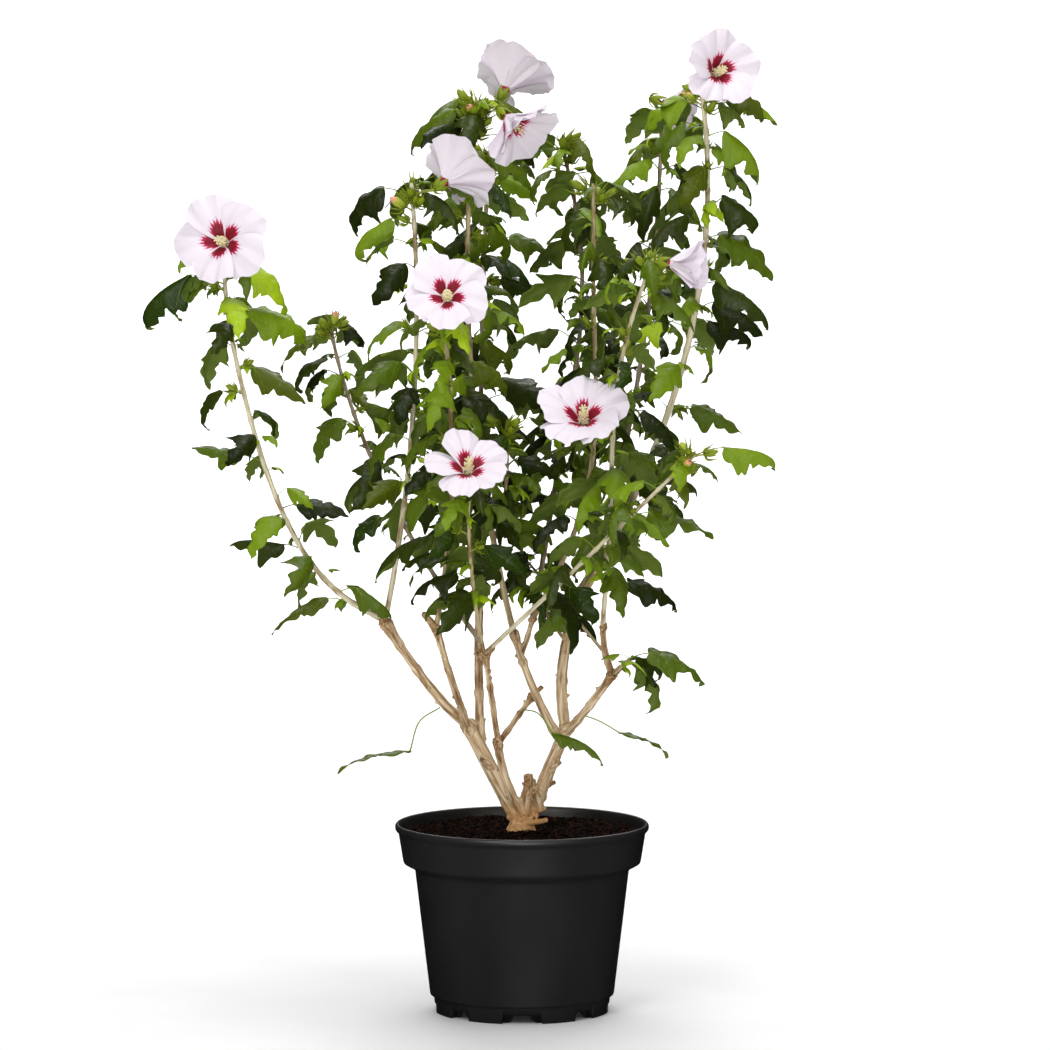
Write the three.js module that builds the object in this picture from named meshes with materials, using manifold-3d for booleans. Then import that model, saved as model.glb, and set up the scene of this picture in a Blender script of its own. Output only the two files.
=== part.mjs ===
// A rose-of-Sharon hibiscus shrub in its plastic nursery pot, as separate named solids.
// Millimetres, +Z up, the front of the shrub towards -Y. The origin is the centre of the pot's
// underside. Woody limbs, leafy canes, pot and soil are each one closed body.

import * as THREE from "three";
import { mergeGeometries, mergeVertices } from "three/addons/utils/BufferGeometryUtils.js";
import Module from "manifold-3d";

const wasm = await Module();
wasm.setup();
const { Manifold, Mesh } = wasm;

// ---------------------------------------------------------------- driving sizes

const GAP = 0.35; // clear space between two pieces that meet
const LEAF_CLEAR = 0.8; // clear space that a leaf keeps to every other mass and limb
const SUNK = 1.6; // how deep a root is sunk in what carries it
const SMALLEST = 0.02; // edges shorter than this are closed up where pieces join

const POT = {
  segments: 32,
  height: 210,
  lipRadius: 141.2,
  bandTopRadius: 137.6,
  bandFootRadius: 132.4,
  bandFootHeight: 167.5,
  stepHeight: 158.5,
  bodyTopRadius: 119.8,
  bodyFootRadius: 102.6,
  bodyFootHeight: 19,
  footRadius: 98,
  footInner: 84,
  padRadius: 35,
  floorHeight: 17,
  wall: 1.6,
  notchHeight: 9.5,
  notchLedge: 90,
  // Bearing from the middle of each quarter, width outside the ledge, and width right through.
  notches: [
    [0, 43, 24],
    [45, 26, 20],
  ],
};

const SOIL_TOP = 203; // level of the soil at the trunk
const SOIL_EDGE = 200.5; // level of the soil at the pot's wall
const SOIL_FLAT = 60; // radius within which the soil is level

const TRUNK_SIDES = 12;
const TRUNK_STEPS = 5;
const LIMB_SIDES = 6;
const CANE_SIDES = 5;
const TWIG_SIDES = 3;
const LIMB_STEP = 34; // spacing of a limb's rings
const CANE_STEP = 72; // spacing of a cane's rings
const KNOT_FROM = 0.8; // share of a limb's length where the knot at its tip begins to swell

// The trunk's butt, the broken stump in its fork and the cut stub at its foot. flare is how far
// the root flare stands out, in ribs, and depthShare flattens the butt from front to back.
const TRUNK = {
  foot: [-2, -1, SOIL_TOP + GAP],
  top: [-1, 0, SOIL_TOP + GAP + 30],
  height: 30,
  radius: 11.5,
  taper: 1.5,
  flare: 5.5,
  flareFade: 5,
  ribs: 3,
  ribDepth: 0.22,
  depthShare: 0.86,
  stump: { foot: [3, -4, 222], tip: [7, -8, 265], bow: [2, -1, 0], radius: [7, 5.4] },
  stub: { foot: [4, -6, 211], tip: [28, -15, 215], bow: [0, 0, -1], radius: [3.8, 2.8] },
};

// The blade of a leaf from its foot to its tip: share of its length, half width as a share of it.
const BLADE = [
  [0.2, 0.28],
  [0.46, 0.29],
  [1, 0],
];
const STALK_RADIUS = 0.8;
const KEEL_SHARE = 0.013; // a blade's thickness as a share of its length
const BLADE_SAG = 0.3; // how far a blade's edges lie below its midrib
const HANG_SHARE = 0.42; // how much of the way from rise to droop lies where stalk and blade meet
const CURL_SHARE = 0.75; // how much of it the blade makes up by curling
const TWIG_RADIUS = [1.5, 1.1];

const FIFTHS = 144; // degrees from one leaf to the next, two fifths of a turn
const LEAF_SPACING = 22.5;
const LAST_SHARE = 0.985; // share of a cane's length where its last leaf and buds stand
const TOP_LEAVES_LESS = 0.3; // how much smaller the leaves at a cane's tip are
const TRIES = 7; // places a leaf tries before it is skipped
const SEARCH = 60; // places along a line that are compared
const FLOOR = POT.height + 16; // nothing of a mass hangs lower than this

// A flower's calyx, the neck where its petals leave it, the notches between the petals and the
// ripple of its rim, as shares of its radius and of a petal's length, and its stalk's radius.
const BLOOM_SHAPE = {
  segments: 15,
  skin: 1.1,
  calyxLength: 18,
  calyxRadius: 6.5,
  neck: 3,
  notch: 0.1,
  ripple: 0.04,
  stalk: [1.5, 1.4],
};
const STALK_REACH = 30; // how far behind a flower its stalk leaves the cane

// The three stems and the boughs. Each is one limb, from foot to tip, that swerves from the
// straight line by bow at its middle; radius is given at foot and tip, and knot swells the tip.
const LIMBS = [
  {
    name: "stem_left", on: "trunk",
    foot: [-7, 1, 220], tip: [-62, 10, 322], bow: [-1, 1, 0],
    radius: [9.2, 7.8], knot: 1.1,
  },
  {
    name: "stem_middle", on: "trunk",
    foot: [0, -7, 222], tip: [-27, -14, 303], bow: [-5, -2, 0],
    radius: [5, 4.4], knot: 1.3,
  },
  {
    name: "stem_right", on: "trunk",
    foot: [10, 2, 220], tip: [50, 8, 317], bow: [0, 0, 0],
    radius: [8, 6.8], knot: 1.15,
  },
  {
    name: "bough_left_low", on: "stem_left",
    foot: [-57, 9, 316], tip: [-152, -20, 437], bow: [3, 1, -15],
    radius: [5.8, 4.6], knot: 1.5,
  },
  {
    name: "bough_left_inner", on: "stem_left",
    foot: [-59, 6, 314], tip: [-95, -50, 435], bow: [-2, -8, 2],
    radius: [4.4, 3.5], knot: 1.5,
  },
  {
    name: "bough_centre_left", on: "stem_left",
    foot: [-46, 12, 296], tip: [-47, 56, 480], bow: [-2, 4, 0],
    radius: [5.4, 4.2], knot: 1.1,
  },
  {
    name: "bough_centre", on: "stem_middle",
    foot: [-26, -14, 300], tip: [-41, -36, 403], bow: [0, -2, 0],
    radius: [3.5, 3], knot: 1.6,
  },
  {
    name: "bough_cross", on: "stem_middle",
    foot: [-25, -12, 301], tip: [11, 24, 348], bow: [0, 2, 0],
    radius: [3.4, 2.8], knot: 1.5,
  },
  {
    name: "bough_centre_right", on: "stem_right",
    foot: [43, 5, 300], tip: [-9, 2, 423], bow: [-5, -10, 0],
    radius: [5.4, 3.6], knot: 1.3,
  },
  {
    name: "bough_centre_fork", on: "bough_centre_right",
    foot: [-1, -3, 399], tip: [12, -2, 439], bow: [1, 0, 0],
    radius: [3.2, 2.8], knot: 1.4,
  },
  {
    name: "bough_right_upright", on: "stem_right",
    foot: [49, 7, 311], tip: [84, 60, 493], bow: [-18, 8, 0],
    radius: [6.4, 5.8], knot: 1,
  },
  {
    name: "bough_right_low", on: "stem_right",
    foot: [51, 4, 312], tip: [100, -38, 380], bow: [0, -3, -2],
    radius: [4.8, 4.2], knot: 1.35,
  },
  {
    name: "bough_right_bent", on: "bough_right_low",
    foot: [99, -37, 379], tip: [89, -52, 436], bow: [-3, 0, 0],
    radius: [4.2, 3.2], knot: 1.3,
  },
];

// The leafy canes. Beside bow, which is the swerve at the middle, sway is an S-shaped swerve.
// bare is the leafless share at the foot, turn the bearing of the first leaf in degrees, blade
// the longest leaf blade, twigs the number of side twigs and buds the number of buds at the tip.
const CANES = [
  {
    name: "cane_left_outer", on: "bough_left_low",
    foot: [-152, -20, 438], tip: [-324, -66, 836], bow: [-47, -10, -17], sway: [0, 0, -24],
    radius: [3.3, 2.2], bare: 0.1, turn: 190, blade: 92, twigs: 2, buds: 0,
  },
  {
    name: "cane_left_tall", on: "bough_left_low",
    foot: [-151, -19, 439], tip: [-122, 6, 920], bow: [17, 8, 0], sway: [0, 0, 0],
    radius: [3.2, 2.4], bare: 0.26, turn: 100, blade: 84, twigs: 5, buds: 4,
  },
  {
    name: "cane_diagonal", on: "bough_centre_left",
    foot: [-48, 40, 410], tip: [-219, 182, 758], bow: [-26, 10, 0], sway: [0, 0, 0],
    radius: [3, 2], bare: 0.3, turn: 60, blade: 88, twigs: 4, buds: 3,
  },
  {
    name: "cane_inner_left", on: "bough_left_inner",
    foot: [-94, -49, 435], tip: [-84, -150, 768], bow: [13, -12, 0], sway: [0, 0, 0],
    radius: [3.1, 2.3], bare: 0.22, turn: 20, blade: 90, twigs: 4, buds: 1,
  },
  {
    name: "cane_front_thin", on: "bough_centre",
    foot: [-42, -38, 404], tip: [-57, -205, 598], bow: [-5, -6, 0], sway: [0, 0, 0],
    radius: [2.3, 1.8], bare: 0.34, turn: 250, blade: 76, twigs: 2, buds: 1,
  },
  {
    name: "cane_front_diagonal", on: "bough_centre",
    foot: [-40, -38, 404], tip: [184, -265, 640], bow: [0, -12, 0], sway: [0, 0, 0],
    radius: [2.7, 1.8], bare: 0.3, turn: 300, blade: 84, twigs: 3, buds: 3,
  },
  {
    name: "cane_top", on: "bough_centre_right",
    foot: [-9, 2, 421], tip: [-50, 24, 1012], bow: [-27, 6, 0], sway: [0, 0, 0],
    radius: [3.6, 2.3], bare: 0.2, turn: 160, blade: 88, twigs: 7, buds: 6,
  },
  {
    name: "cane_rear_tall", on: "bough_centre_left",
    foot: [-46, 57, 481], tip: [-38, 236, 953], bow: [-4, 26, 0], sway: [0, 0, 0],
    radius: [3.1, 2.1], bare: 0.12, turn: 45, blade: 86, twigs: 6, buds: 3,
  },
  {
    name: "cane_small", on: "bough_centre_left",
    foot: [-46, 55, 481], tip: [-18, -112, 662], bow: [12, 6, 0], sway: [0, 0, 0],
    radius: [2.2, 1.6], bare: 0.25, turn: 330, blade: 70, twigs: 2, buds: 3,
  },
  {
    name: "cane_rear_right", on: "bough_centre_fork",
    foot: [12, -1, 440], tip: [43, 210, 966], bow: [32, 24, 0], sway: [-8, 0, 0],
    radius: [3.2, 2.1], bare: 0.24, turn: 80, blade: 88, twigs: 6, buds: 4,
  },
  {
    name: "cane_centre_right", on: "bough_centre_fork",
    foot: [13, -4, 440], tip: [79, 66, 918], bow: [36, -6, 0], sway: [10, 0, 0],
    radius: [3.2, 2.1], bare: 0.22, turn: 10, blade: 86, twigs: 5, buds: 3,
  },
  {
    name: "cane_inner_right", on: "bough_right_bent",
    foot: [89, -53, 437], tip: [141, -160, 842], bow: [-17, -14, 0], sway: [6, 0, 0],
    radius: [3, 2], bare: 0.14, turn: 280, blade: 84, twigs: 5, buds: 3,
  },
  {
    name: "cane_rear_far", on: "bough_right_upright",
    foot: [84, 63, 494], tip: [158, 190, 998], bow: [18, 26, 0], sway: [0, 0, 0],
    radius: [3.1, 2.1], bare: 0.1, turn: 120, blade: 88, twigs: 5, buds: 3,
  },
  {
    name: "cane_right_tall", on: "bough_right_upright",
    foot: [86, 58, 494], tip: [197, -16, 1022], bow: [46, -10, 0], sway: [0, 0, 0],
    radius: [4.2, 2.6], bare: 0.12, turn: 340, blade: 92, twigs: 5, buds: 2,
  },
  {
    name: "shoot_back", on: "bough_right_bent",
    foot: [88, -45, 408], tip: [1, 62, 502], bow: [0, 0, 0], sway: [0, 0, 0],
    radius: [1.8, 1.3], bare: 0.35, turn: 150, blade: 72, twigs: 1, buds: 0,
  },
  {
    name: "shoot_inner", on: "bough_right_upright",
    foot: [46, 39, 412], tip: [6, 26, 470], bow: [0, 0, 0], sway: [0, 0, 0],
    radius: [2.2, 1.4], bare: 0.4, turn: 30, blade: 66, twigs: 0, buds: 0,
  },
  {
    name: "shoot_right_low", on: "bough_right_low",
    foot: [100, -39, 380], tip: [118, -62, 400], bow: [0, 0, 0], sway: [0, 0, 0],
    radius: [2.2, 1.6], bare: 0.3, turn: 350, blade: 78, twigs: 0, buds: 0,
  },
];

// Leaves that shape the outline: on which mass, the height of the root, the bearing in degrees
// (0 is +X, 90 is the back), the stalk's length, the blade's length and the tip's droop. They
// turn their upper faces to the front.
const OUTLINE_RISE = 16;
const OUTLINE_ROLL = 42;
const OUTLINE_LEAVES = [
  { on: "cane_left_outer", height: 808, bearing: 190, stalk: 40, blade: 106, droop: -72 },
  { on: "cane_left_outer", height: 828, bearing: -8, stalk: 24, blade: 84, droop: -80 },
  { on: "cane_left_outer", height: 778, bearing: 12, stalk: 24, blade: 104, droop: -42 },
  { on: "cane_left_outer", height: 614, bearing: 172, stalk: 26, blade: 94, droop: 6 },
  { on: "cane_left_outer", height: 520, bearing: 178, stalk: 20, blade: 88, droop: 2 },
  { on: "cane_left_outer", height: 564, bearing: -12, stalk: 20, blade: 88, droop: -26 },
  { on: "cane_left_tall", height: 904, bearing: 172, stalk: 34, blade: 84, droop: -78 },
  { on: "cane_left_tall", height: 870, bearing: 184, stalk: 26, blade: 86, droop: -72 },
  { on: "cane_top", height: 998, bearing: 178, stalk: 24, blade: 86, droop: -64 },
  { on: "cane_top", height: 1008, bearing: -6, stalk: 26, blade: 74, droop: -62 },
  { on: "cane_right_tall", height: 1014, bearing: -10, stalk: 34, blade: 62, droop: -66 },
  { on: "cane_right_tall", height: 974, bearing: 4, stalk: 22, blade: 86, droop: -84 },
  { on: "cane_right_tall", height: 916, bearing: -6, stalk: 20, blade: 98, droop: -74 },
  { on: "cane_right_tall", height: 854, bearing: 8, stalk: 16, blade: 92, droop: -62 },
  { on: "cane_right_tall", height: 806, bearing: -14, stalk: 18, blade: 96, droop: -62 },
  { on: "cane_right_tall", height: 760, bearing: 2, stalk: 18, blade: 84, droop: -40 },
  { on: "cane_right_tall", height: 1008, bearing: 172, stalk: 20, blade: 72, droop: -56 },
  { on: "cane_front_diagonal", height: 636, bearing: 2, stalk: 34, blade: 96, droop: -24 },
  { on: "cane_front_diagonal", height: 568, bearing: -16, stalk: 22, blade: 86, droop: -34 },
  { on: "shoot_right_low", height: 400, bearing: 4, stalk: 22, blade: 86, droop: -44 },
  { on: "shoot_right_low", height: 394, bearing: 40, stalk: 18, blade: 78, droop: -36 },
  { on: "cane_inner_right", height: 478, bearing: 12, stalk: 26, blade: 92, droop: -42 },
  { on: "cane_inner_right", height: 454, bearing: -20, stalk: 22, blade: 88, droop: -52 },
];

// The open flowers: centre, the way each one faces, its turn round that axis, how far its petals
// spread (degrees from the axis at their tips) and the petals' length.
const BLOOMS = [
  {
    on: "cane_left_outer",
    centre: [-323, -84, 856], faces: [-0.24, -1, 0.34],
    turn: 10, spread: 84, petal: 52,
  },
  {
    on: "cane_top",
    centre: [-20, 40, 1020], faces: [0.34, 0.62, 0.66],
    turn: 30, spread: 58, petal: 58,
  },
  {
    on: "cane_top",
    centre: [-18, -34, 994], faces: [0.62, -0.5, -0.6],
    turn: 0, spread: 50, petal: 54,
  },
  {
    on: "cane_left_tall",
    centre: [-87, -26, 920], faces: [0.6, 0.62, 0.46],
    turn: 20, spread: 66, petal: 56,
  },
  {
    on: "cane_right_tall",
    centre: [210, -34, 1040], faces: [0.4, -0.82, 0.3],
    turn: 20, spread: 64, petal: 50,
  },
  {
    on: "cane_rear_far",
    centre: [158, 168, 1008], faces: [0.85, -0.25, -0.3],
    turn: 0, spread: 34, petal: 42,
  },
  {
    on: "cane_inner_left",
    centre: [-80, -180, 800], faces: [0.02, -0.9, 0.42],
    turn: 36, spread: 82, petal: 45,
  },
  {
    on: "cane_centre_right",
    centre: [66, -160, 664], faces: [0, -0.7, 0.7],
    turn: 0, spread: 70, petal: 55,
  },
  {
    on: "cane_front_thin",
    centre: [-58, -228, 616], faces: [0.1, -0.72, 0.72],
    turn: 20, spread: 82, petal: 46,
  },
  {
    on: "cane_inner_right",
    centre: [156, -182, 838], faces: [0.95, -0.25, -0.08],
    turn: 0, spread: 30, petal: 44,
  },
];

// Three long-stalked leaves low on the boughs: root, top of the stalk's arch, blade's root, tip.
// Their blades rise and droop this far from the straight line to the tip, in degrees.
const LOW_LEAF_RISE = 30;
const LOW_LEAF_DROOP = 10;
const LOW_LEAVES = [
  {
    name: "low_leaf_left", on: "bough_left_low",
    root: [-91, -2, 339], arch: [-114, -12, 324], foot: [-124, -20, 292], tip: [-205, -30, 276],
  },
  {
    name: "low_leaf_middle", on: "bough_cross",
    root: [1, 14, 335], arch: [18, -18, 334], foot: [34, -40, 315], tip: [94, -70, 292],
  },
  {
    name: "low_leaf_right", on: "bough_right_low",
    root: [66, -10, 332], arch: [86, -22, 326], foot: [108, -30, 314], tip: [164, -32, 293],
  },
];

// ---------------------------------------------------------------- colours

const FINISH = {
  bark: new THREE.MeshStandardMaterial({ color: 0xa98a62, roughness: 0.85, metalness: 0 }),
  leaf: new THREE.MeshStandardMaterial({ color: 0x45661f, roughness: 0.55, metalness: 0 }),
  pot: new THREE.MeshStandardMaterial({ color: 0x232323, roughness: 0.45, metalness: 0 }),
  soil: new THREE.MeshStandardMaterial({ color: 0x2a1a12, roughness: 1, metalness: 0 }),
};

// ---------------------------------------------------------------- numbers and solids

const UP = new THREE.Vector3(0, 0, 1);
const WELD = 1e-4; // vertices nearer than this are one

const vec = (p) => new THREE.Vector3(...p);
const rad = (degrees) => (degrees * Math.PI) / 180;

/** A level direction at a bearing in degrees. */
const level = (bearing) => new THREE.Vector3(Math.cos(rad(bearing)), Math.sin(rad(bearing)), 0);

/** A number rounded so that both ends of a seam give the same vertex. */
const exact = (value) => Math.round(value * 1e5) / 1e5;

/** A row of numbers from 0 to 1 that is always the same for the same seed. */
function dice(seed) {
  let state = Math.imul(seed + 1, 2654435761) >>> 0;
  const next = () => {
    state = (Math.imul(state, 1664525) + 1013904223) >>> 0;
    return state / 4294967296;
  };
  next();
  next();
  return next;
}

/** The closed solid of a geometry, its faces turned outwards. */
function solidOf(geometry) {
  const bare = new THREE.BufferGeometry();
  bare.setAttribute("position", geometry.getAttribute("position"));
  bare.setIndex(geometry.index);
  const merged = mergeVertices(bare, WELD);
  const vertProperties = new Float32Array(merged.attributes.position.array);
  const triVerts = new Uint32Array(merged.index.array);
  const made = new Manifold(new Mesh({ numProp: 3, vertProperties, triVerts }));
  if (made.volume() > 0) return made;
  for (let i = 0; i < triVerts.length; i += 3) {
    [triVerts[i + 1], triVerts[i + 2]] = [triVerts[i + 2], triVerts[i + 1]];
  }
  return new Manifold(new Mesh({ numProp: 3, vertProperties, triVerts }));
}

/** A three.js geometry of a solid. */
function geometryOf(solid) {
  const mesh = solid.getMesh();
  const geometry = new THREE.BufferGeometry();
  geometry.setAttribute("position", new THREE.BufferAttribute(mesh.vertProperties, 3));
  geometry.setIndex(new THREE.BufferAttribute(mesh.triVerts, 1));
  geometry.computeVertexNormals();
  return geometry;
}

/** One body out of several overlapping ones, without loose scraps or sealed hollows. */
function fuse(solids) {
  const bodies = Manifold.union(solids).simplify(SMALLEST).decompose();
  return bodies.reduce((best, body) => (body.volume() > best.volume() ? body : best));
}

/** A solid made fatter by shifting it a little each way. */
function fattened(solid, by) {
  const shifts = [by, -by].flatMap((d) => [
    [d, 0, 0],
    [0, d, 0],
    [0, 0, d],
  ]);
  return Manifold.union([solid, ...shifts.map((shift) => solid.translate(shift))]);
}

/** True where two solids come nearer than the given distance. */
function nearer(a, b, distance) {
  const p = a.boundingBox();
  const q = b.boundingBox();
  for (let i = 0; i < 3; i++) {
    if (p.min[i] > q.max[i] + distance || q.min[i] > p.max[i] + distance) return false;
  }
  return a.minGap(b, distance * 2) < distance;
}

/**
 * A closed tube: a cylinder whose vertices are moved to pointAt(share along it, across, deep),
 * where across and deep are the vertex's place on the unit circle. A pointed tube ends in a tip.
 */
function closedTube(sides, steps, pointed, firstAngle, pointAt) {
  const tube = new THREE.CylinderGeometry(pointed ? 0 : 1, 1, 1, sides, steps, false, firstAngle);
  const place = tube.getAttribute("position");
  for (let i = 0; i < place.count; i++) {
    const share = exact(place.getY(i) + 0.5);
    const radius = Math.hypot(place.getX(i), place.getZ(i));
    const scale = radius > WELD ? 1 / radius : 0;
    const point = pointAt(share, exact(place.getX(i) * scale), exact(place.getZ(i) * scale));
    place.setXYZ(i, point.x, point.y, point.z);
  }
  return solidOf(tube);
}

/** A body turned on the vertical axis from pairs of radius and height. */
function turned(pairs, segments) {
  const profile = pairs.map(([x, y]) => new THREE.Vector2(x, y));
  return new THREE.LatheGeometry(profile, segments).rotateX(Math.PI / 2);
}

// ---------------------------------------------------------------- limbs

/** The centre line of a limb or cane: foot to tip, with its swerves. */
function lineOf({ foot, tip, bow, sway = [0, 0, 0] }) {
  const [from, to] = [vec(foot), vec(tip)];
  return (t) => {
    const once = 4 * t * (1 - t);
    const twice = Math.sin(2 * Math.PI * t);
    const point = from.clone().lerp(to, t);
    return point.addScaledVector(vec(bow), once).addScaledVector(vec(sway), twice);
  };
}

const lengthOf = ({ foot, tip }) => vec(foot).distanceTo(vec(tip));

/** The direction of a centre line at share t. */
function headingOf(line, t) {
  const span = 0.01;
  return line(t + span).sub(line(t - span)).normalize();
}

/** A tapering limb round its centre line; grow makes it fatter and longer on all sides. */
function limbSolid(limb, sides, spacing, grow = 0) {
  const line = lineOf(limb);
  const length = lengthOf(limb);
  const steps = Math.max(2, Math.round(length / spacing));
  const [thick, thin] = limb.radius;
  const swelling = (limb.knot ?? 1) - 1;
  const over = grow / length;
  return closedTube(sides, steps, false, 0, (share, across, deep) => {
    const t = share * (1 + 2 * over) - over;
    const heading = headingOf(line, t);
    const side = new THREE.Vector3(0, 1, 0).cross(heading).normalize();
    const front = heading.clone().cross(side);
    const swell = 1 + swelling * THREE.MathUtils.smoothstep(share, KNOT_FROM, 1);
    const radius = (thick + (thin - thick) * share) * swell + grow;
    return line(t).addScaledVector(side, radius * across).addScaledVector(front, radius * deep);
  });
}

/** The trunk: a flared foot cut flat at the soil, a short butt, and the stubs at its fork. */
function trunkSolid() {
  const { foot, height, radius, taper, flare, flareFade, ribs, ribDepth, depthShare } = TRUNK;
  const body = closedTube(TRUNK_SIDES, TRUNK_STEPS, false, 0, (share, across, deep) => {
    const rise = share * height;
    const ribbed = 1 + ribDepth * Math.cos(ribs * Math.atan2(deep, across));
    const reach = radius - taper * share + flare * Math.exp(-rise / flareFade) * ribbed;
    return vec(foot)
      .lerp(vec(TRUNK.top), share)
      .add(new THREE.Vector3(reach * across, reach * deep * depthShare, 0));
  });
  const stump = limbSolid(TRUNK.stump, LIMB_SIDES, LIMB_STEP);
  const stub = limbSolid(TRUNK.stub, CANE_SIDES, LIMB_STEP);
  return fuse([body, stump, stub]);
}

/** A limb cut clear of the limbs before it, with the fatter solid that later ones keep off. */
function clearLimb(limb, sides, spacing, others) {
  const whole = limbSolid(limb, sides, spacing);
  const near = others.filter((other) => nearer(whole, other.solid, GAP));
  const solid = fuse([whole.subtract(Manifold.union(near.map((other) => other.grown)))]);
  return { solid, grown: limbSolid(limb, sides, spacing, GAP) };
}

// ---------------------------------------------------------------- leaves, buds and flowers

/**
 * A leaf: a stalk that rises from its root and a blade that hangs from it and curls to its tip
 * across its own width. bearing, rise, droop and roll are in degrees.
 */
function leafSolid({ root, bearing, rise, droop, roll, stalk, blade }) {
  const out = level(bearing);
  const across90 = level(bearing + 90);
  const pitched = (pitch) =>
    out.clone().multiplyScalar(Math.cos(rad(pitch))).addScaledVector(UP, Math.sin(rad(pitch)));
  const first = pitched(rise);
  const hang = pitched(rise + (droop - rise) * HANG_SHARE);
  const bladeSide = across90.clone().applyAxisAngle(hang, rad(roll));
  const curl = (rise - droop) * CURL_SHARE;
  const rings = [];
  const addRing = (centre, heading, side, half) =>
    rings.push({ centre, side, up: heading.clone().cross(side), half });

  const stalkSide = across90.clone().applyAxisAngle(first, rad(roll));
  addRing(root.clone().addScaledVector(first, -SUNK), first, stalkSide, STALK_RADIUS);
  let centre = root.clone().addScaledVector(first, stalk);
  addRing(centre, first, stalkSide, STALK_RADIUS);
  BLADE.forEach(([share, half], i) => {
    const before = i ? BLADE[i - 1][0] : 0;
    const bend = rad(curl * ((share + before) / 2));
    const heading = hang.clone().applyAxisAngle(bladeSide, bend);
    centre = centre.clone().addScaledVector(heading, (share - before) * blade);
    addRing(centre, heading, bladeSide, half * blade);
  });

  const steps = rings.length - 1;
  const keel = Math.max(1, blade * KEEL_SHARE);
  return closedTube(3, steps, true, Math.PI / 3, (share, across, deep) => {
    const ring = rings[Math.round(share * steps)];
    if (deep > 0) {
      const edge = ring.centre.clone().addScaledVector(ring.side, Math.sign(across) * ring.half);
      return edge.addScaledVector(ring.up, -BLADE_SAG);
    }
    return ring.centre.clone().addScaledVector(ring.up, deep < 0 ? keel : 0);
  });
}

/** A bud on its stalk: a slim stalk, a plump body and a point. */
function budSolid(root, heading, stalk, size) {
  const marks = [-SUNK, stalk, stalk + size * 0.4, stalk + size];
  const radii = [0.9, 1.6, size * 0.27, 0];
  const side = heading.clone().cross(new THREE.Vector3(0.3, 1, 0.1)).normalize();
  const front = heading.clone().cross(side);
  const steps = marks.length - 1;
  return closedTube(3, steps, true, 0, (share, across, deep) => {
    const i = Math.round(share * steps);
    return root
      .clone()
      .addScaledVector(heading, marks[i])
      .addScaledVector(side, radii[i] * across)
      .addScaledVector(front, radii[i] * deep);
  });
}

/** A geometry with its faces turned the other way. */
function flipped(geometry) {
  const index = geometry.index;
  for (let i = 0; i < index.count; i += 3) {
    const first = index.getX(i);
    index.setX(i, index.getX(i + 1));
    index.setX(i + 1, first);
  }
  return geometry;
}

/** A flower from its stalk and calyx to the rim of its five petals. */
function bloomSolid({ centre, faces, turn, spread, petal }, stemPoint) {
  const { segments, skin, calyxLength, calyxRadius, neck, notch, ripple } = BLOOM_SHAPE;
  const axis = vec(faces).normalize();
  const facing = new THREE.Quaternion().setFromUnitVectors(UP, axis);
  const ring = (share) => {
    const angle = rad(spread * (0.4 + 0.46 * share));
    return [neck + petal * share * Math.sin(angle), petal * share * Math.cos(angle)];
  };
  const [midRadius, midRise] = ring(0.5);
  const [rimRadius, rimRise] = ring(1);
  const underside = [
    [0, -calyxLength],
    [calyxRadius, -calyxLength / 2],
    [midRadius, midRise - skin],
    [rimRadius, rimRise],
  ];
  const topside = [
    [0, 2 * skin],
    [midRadius, midRise + skin / 2],
    [rimRadius, rimRise],
  ];
  const cup = mergeGeometries([turned(underside, segments), flipped(turned(topside, segments))]);
  const place = cup.getAttribute("position");
  for (let i = 0; i < place.count; i++) {
    const point = new THREE.Vector3().fromBufferAttribute(place, i);
    const fold = Math.cos(5 * Math.atan2(point.x, -point.y));
    if (Math.hypot(point.x, point.y) > midRadius + 1) {
      point.x *= 1 - notch * fold;
      point.y *= 1 - notch * fold;
      point.z += petal * ripple * fold;
    }
    point.applyAxisAngle(UP, rad(turn)).applyQuaternion(facing).add(vec(centre));
    place.setXYZ(i, exact(point.x), exact(point.y), exact(point.z));
  }
  const back = vec(centre).addScaledVector(axis, 3 * skin - calyxLength);
  const stalk = {
    foot: stemPoint.toArray(),
    tip: back.toArray(),
    bow: [0, 0, 0],
    radius: BLOOM_SHAPE.stalk,
  };
  return fuse([solidOf(cup), limbSolid(stalk, TWIG_SIDES, lengthOf(stalk))]);
}

// ---------------------------------------------------------------- leafy masses

/** The share of a line where a measure of its point is least. */
function shareOfLeast(line, measure) {
  let best = 0;
  for (let i = 0; i <= SEARCH; i++) {
    const t = (i / SEARCH) * LAST_SHARE;
    if (measure(line(t)) < measure(line(best))) best = t;
  }
  return best;
}

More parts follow.
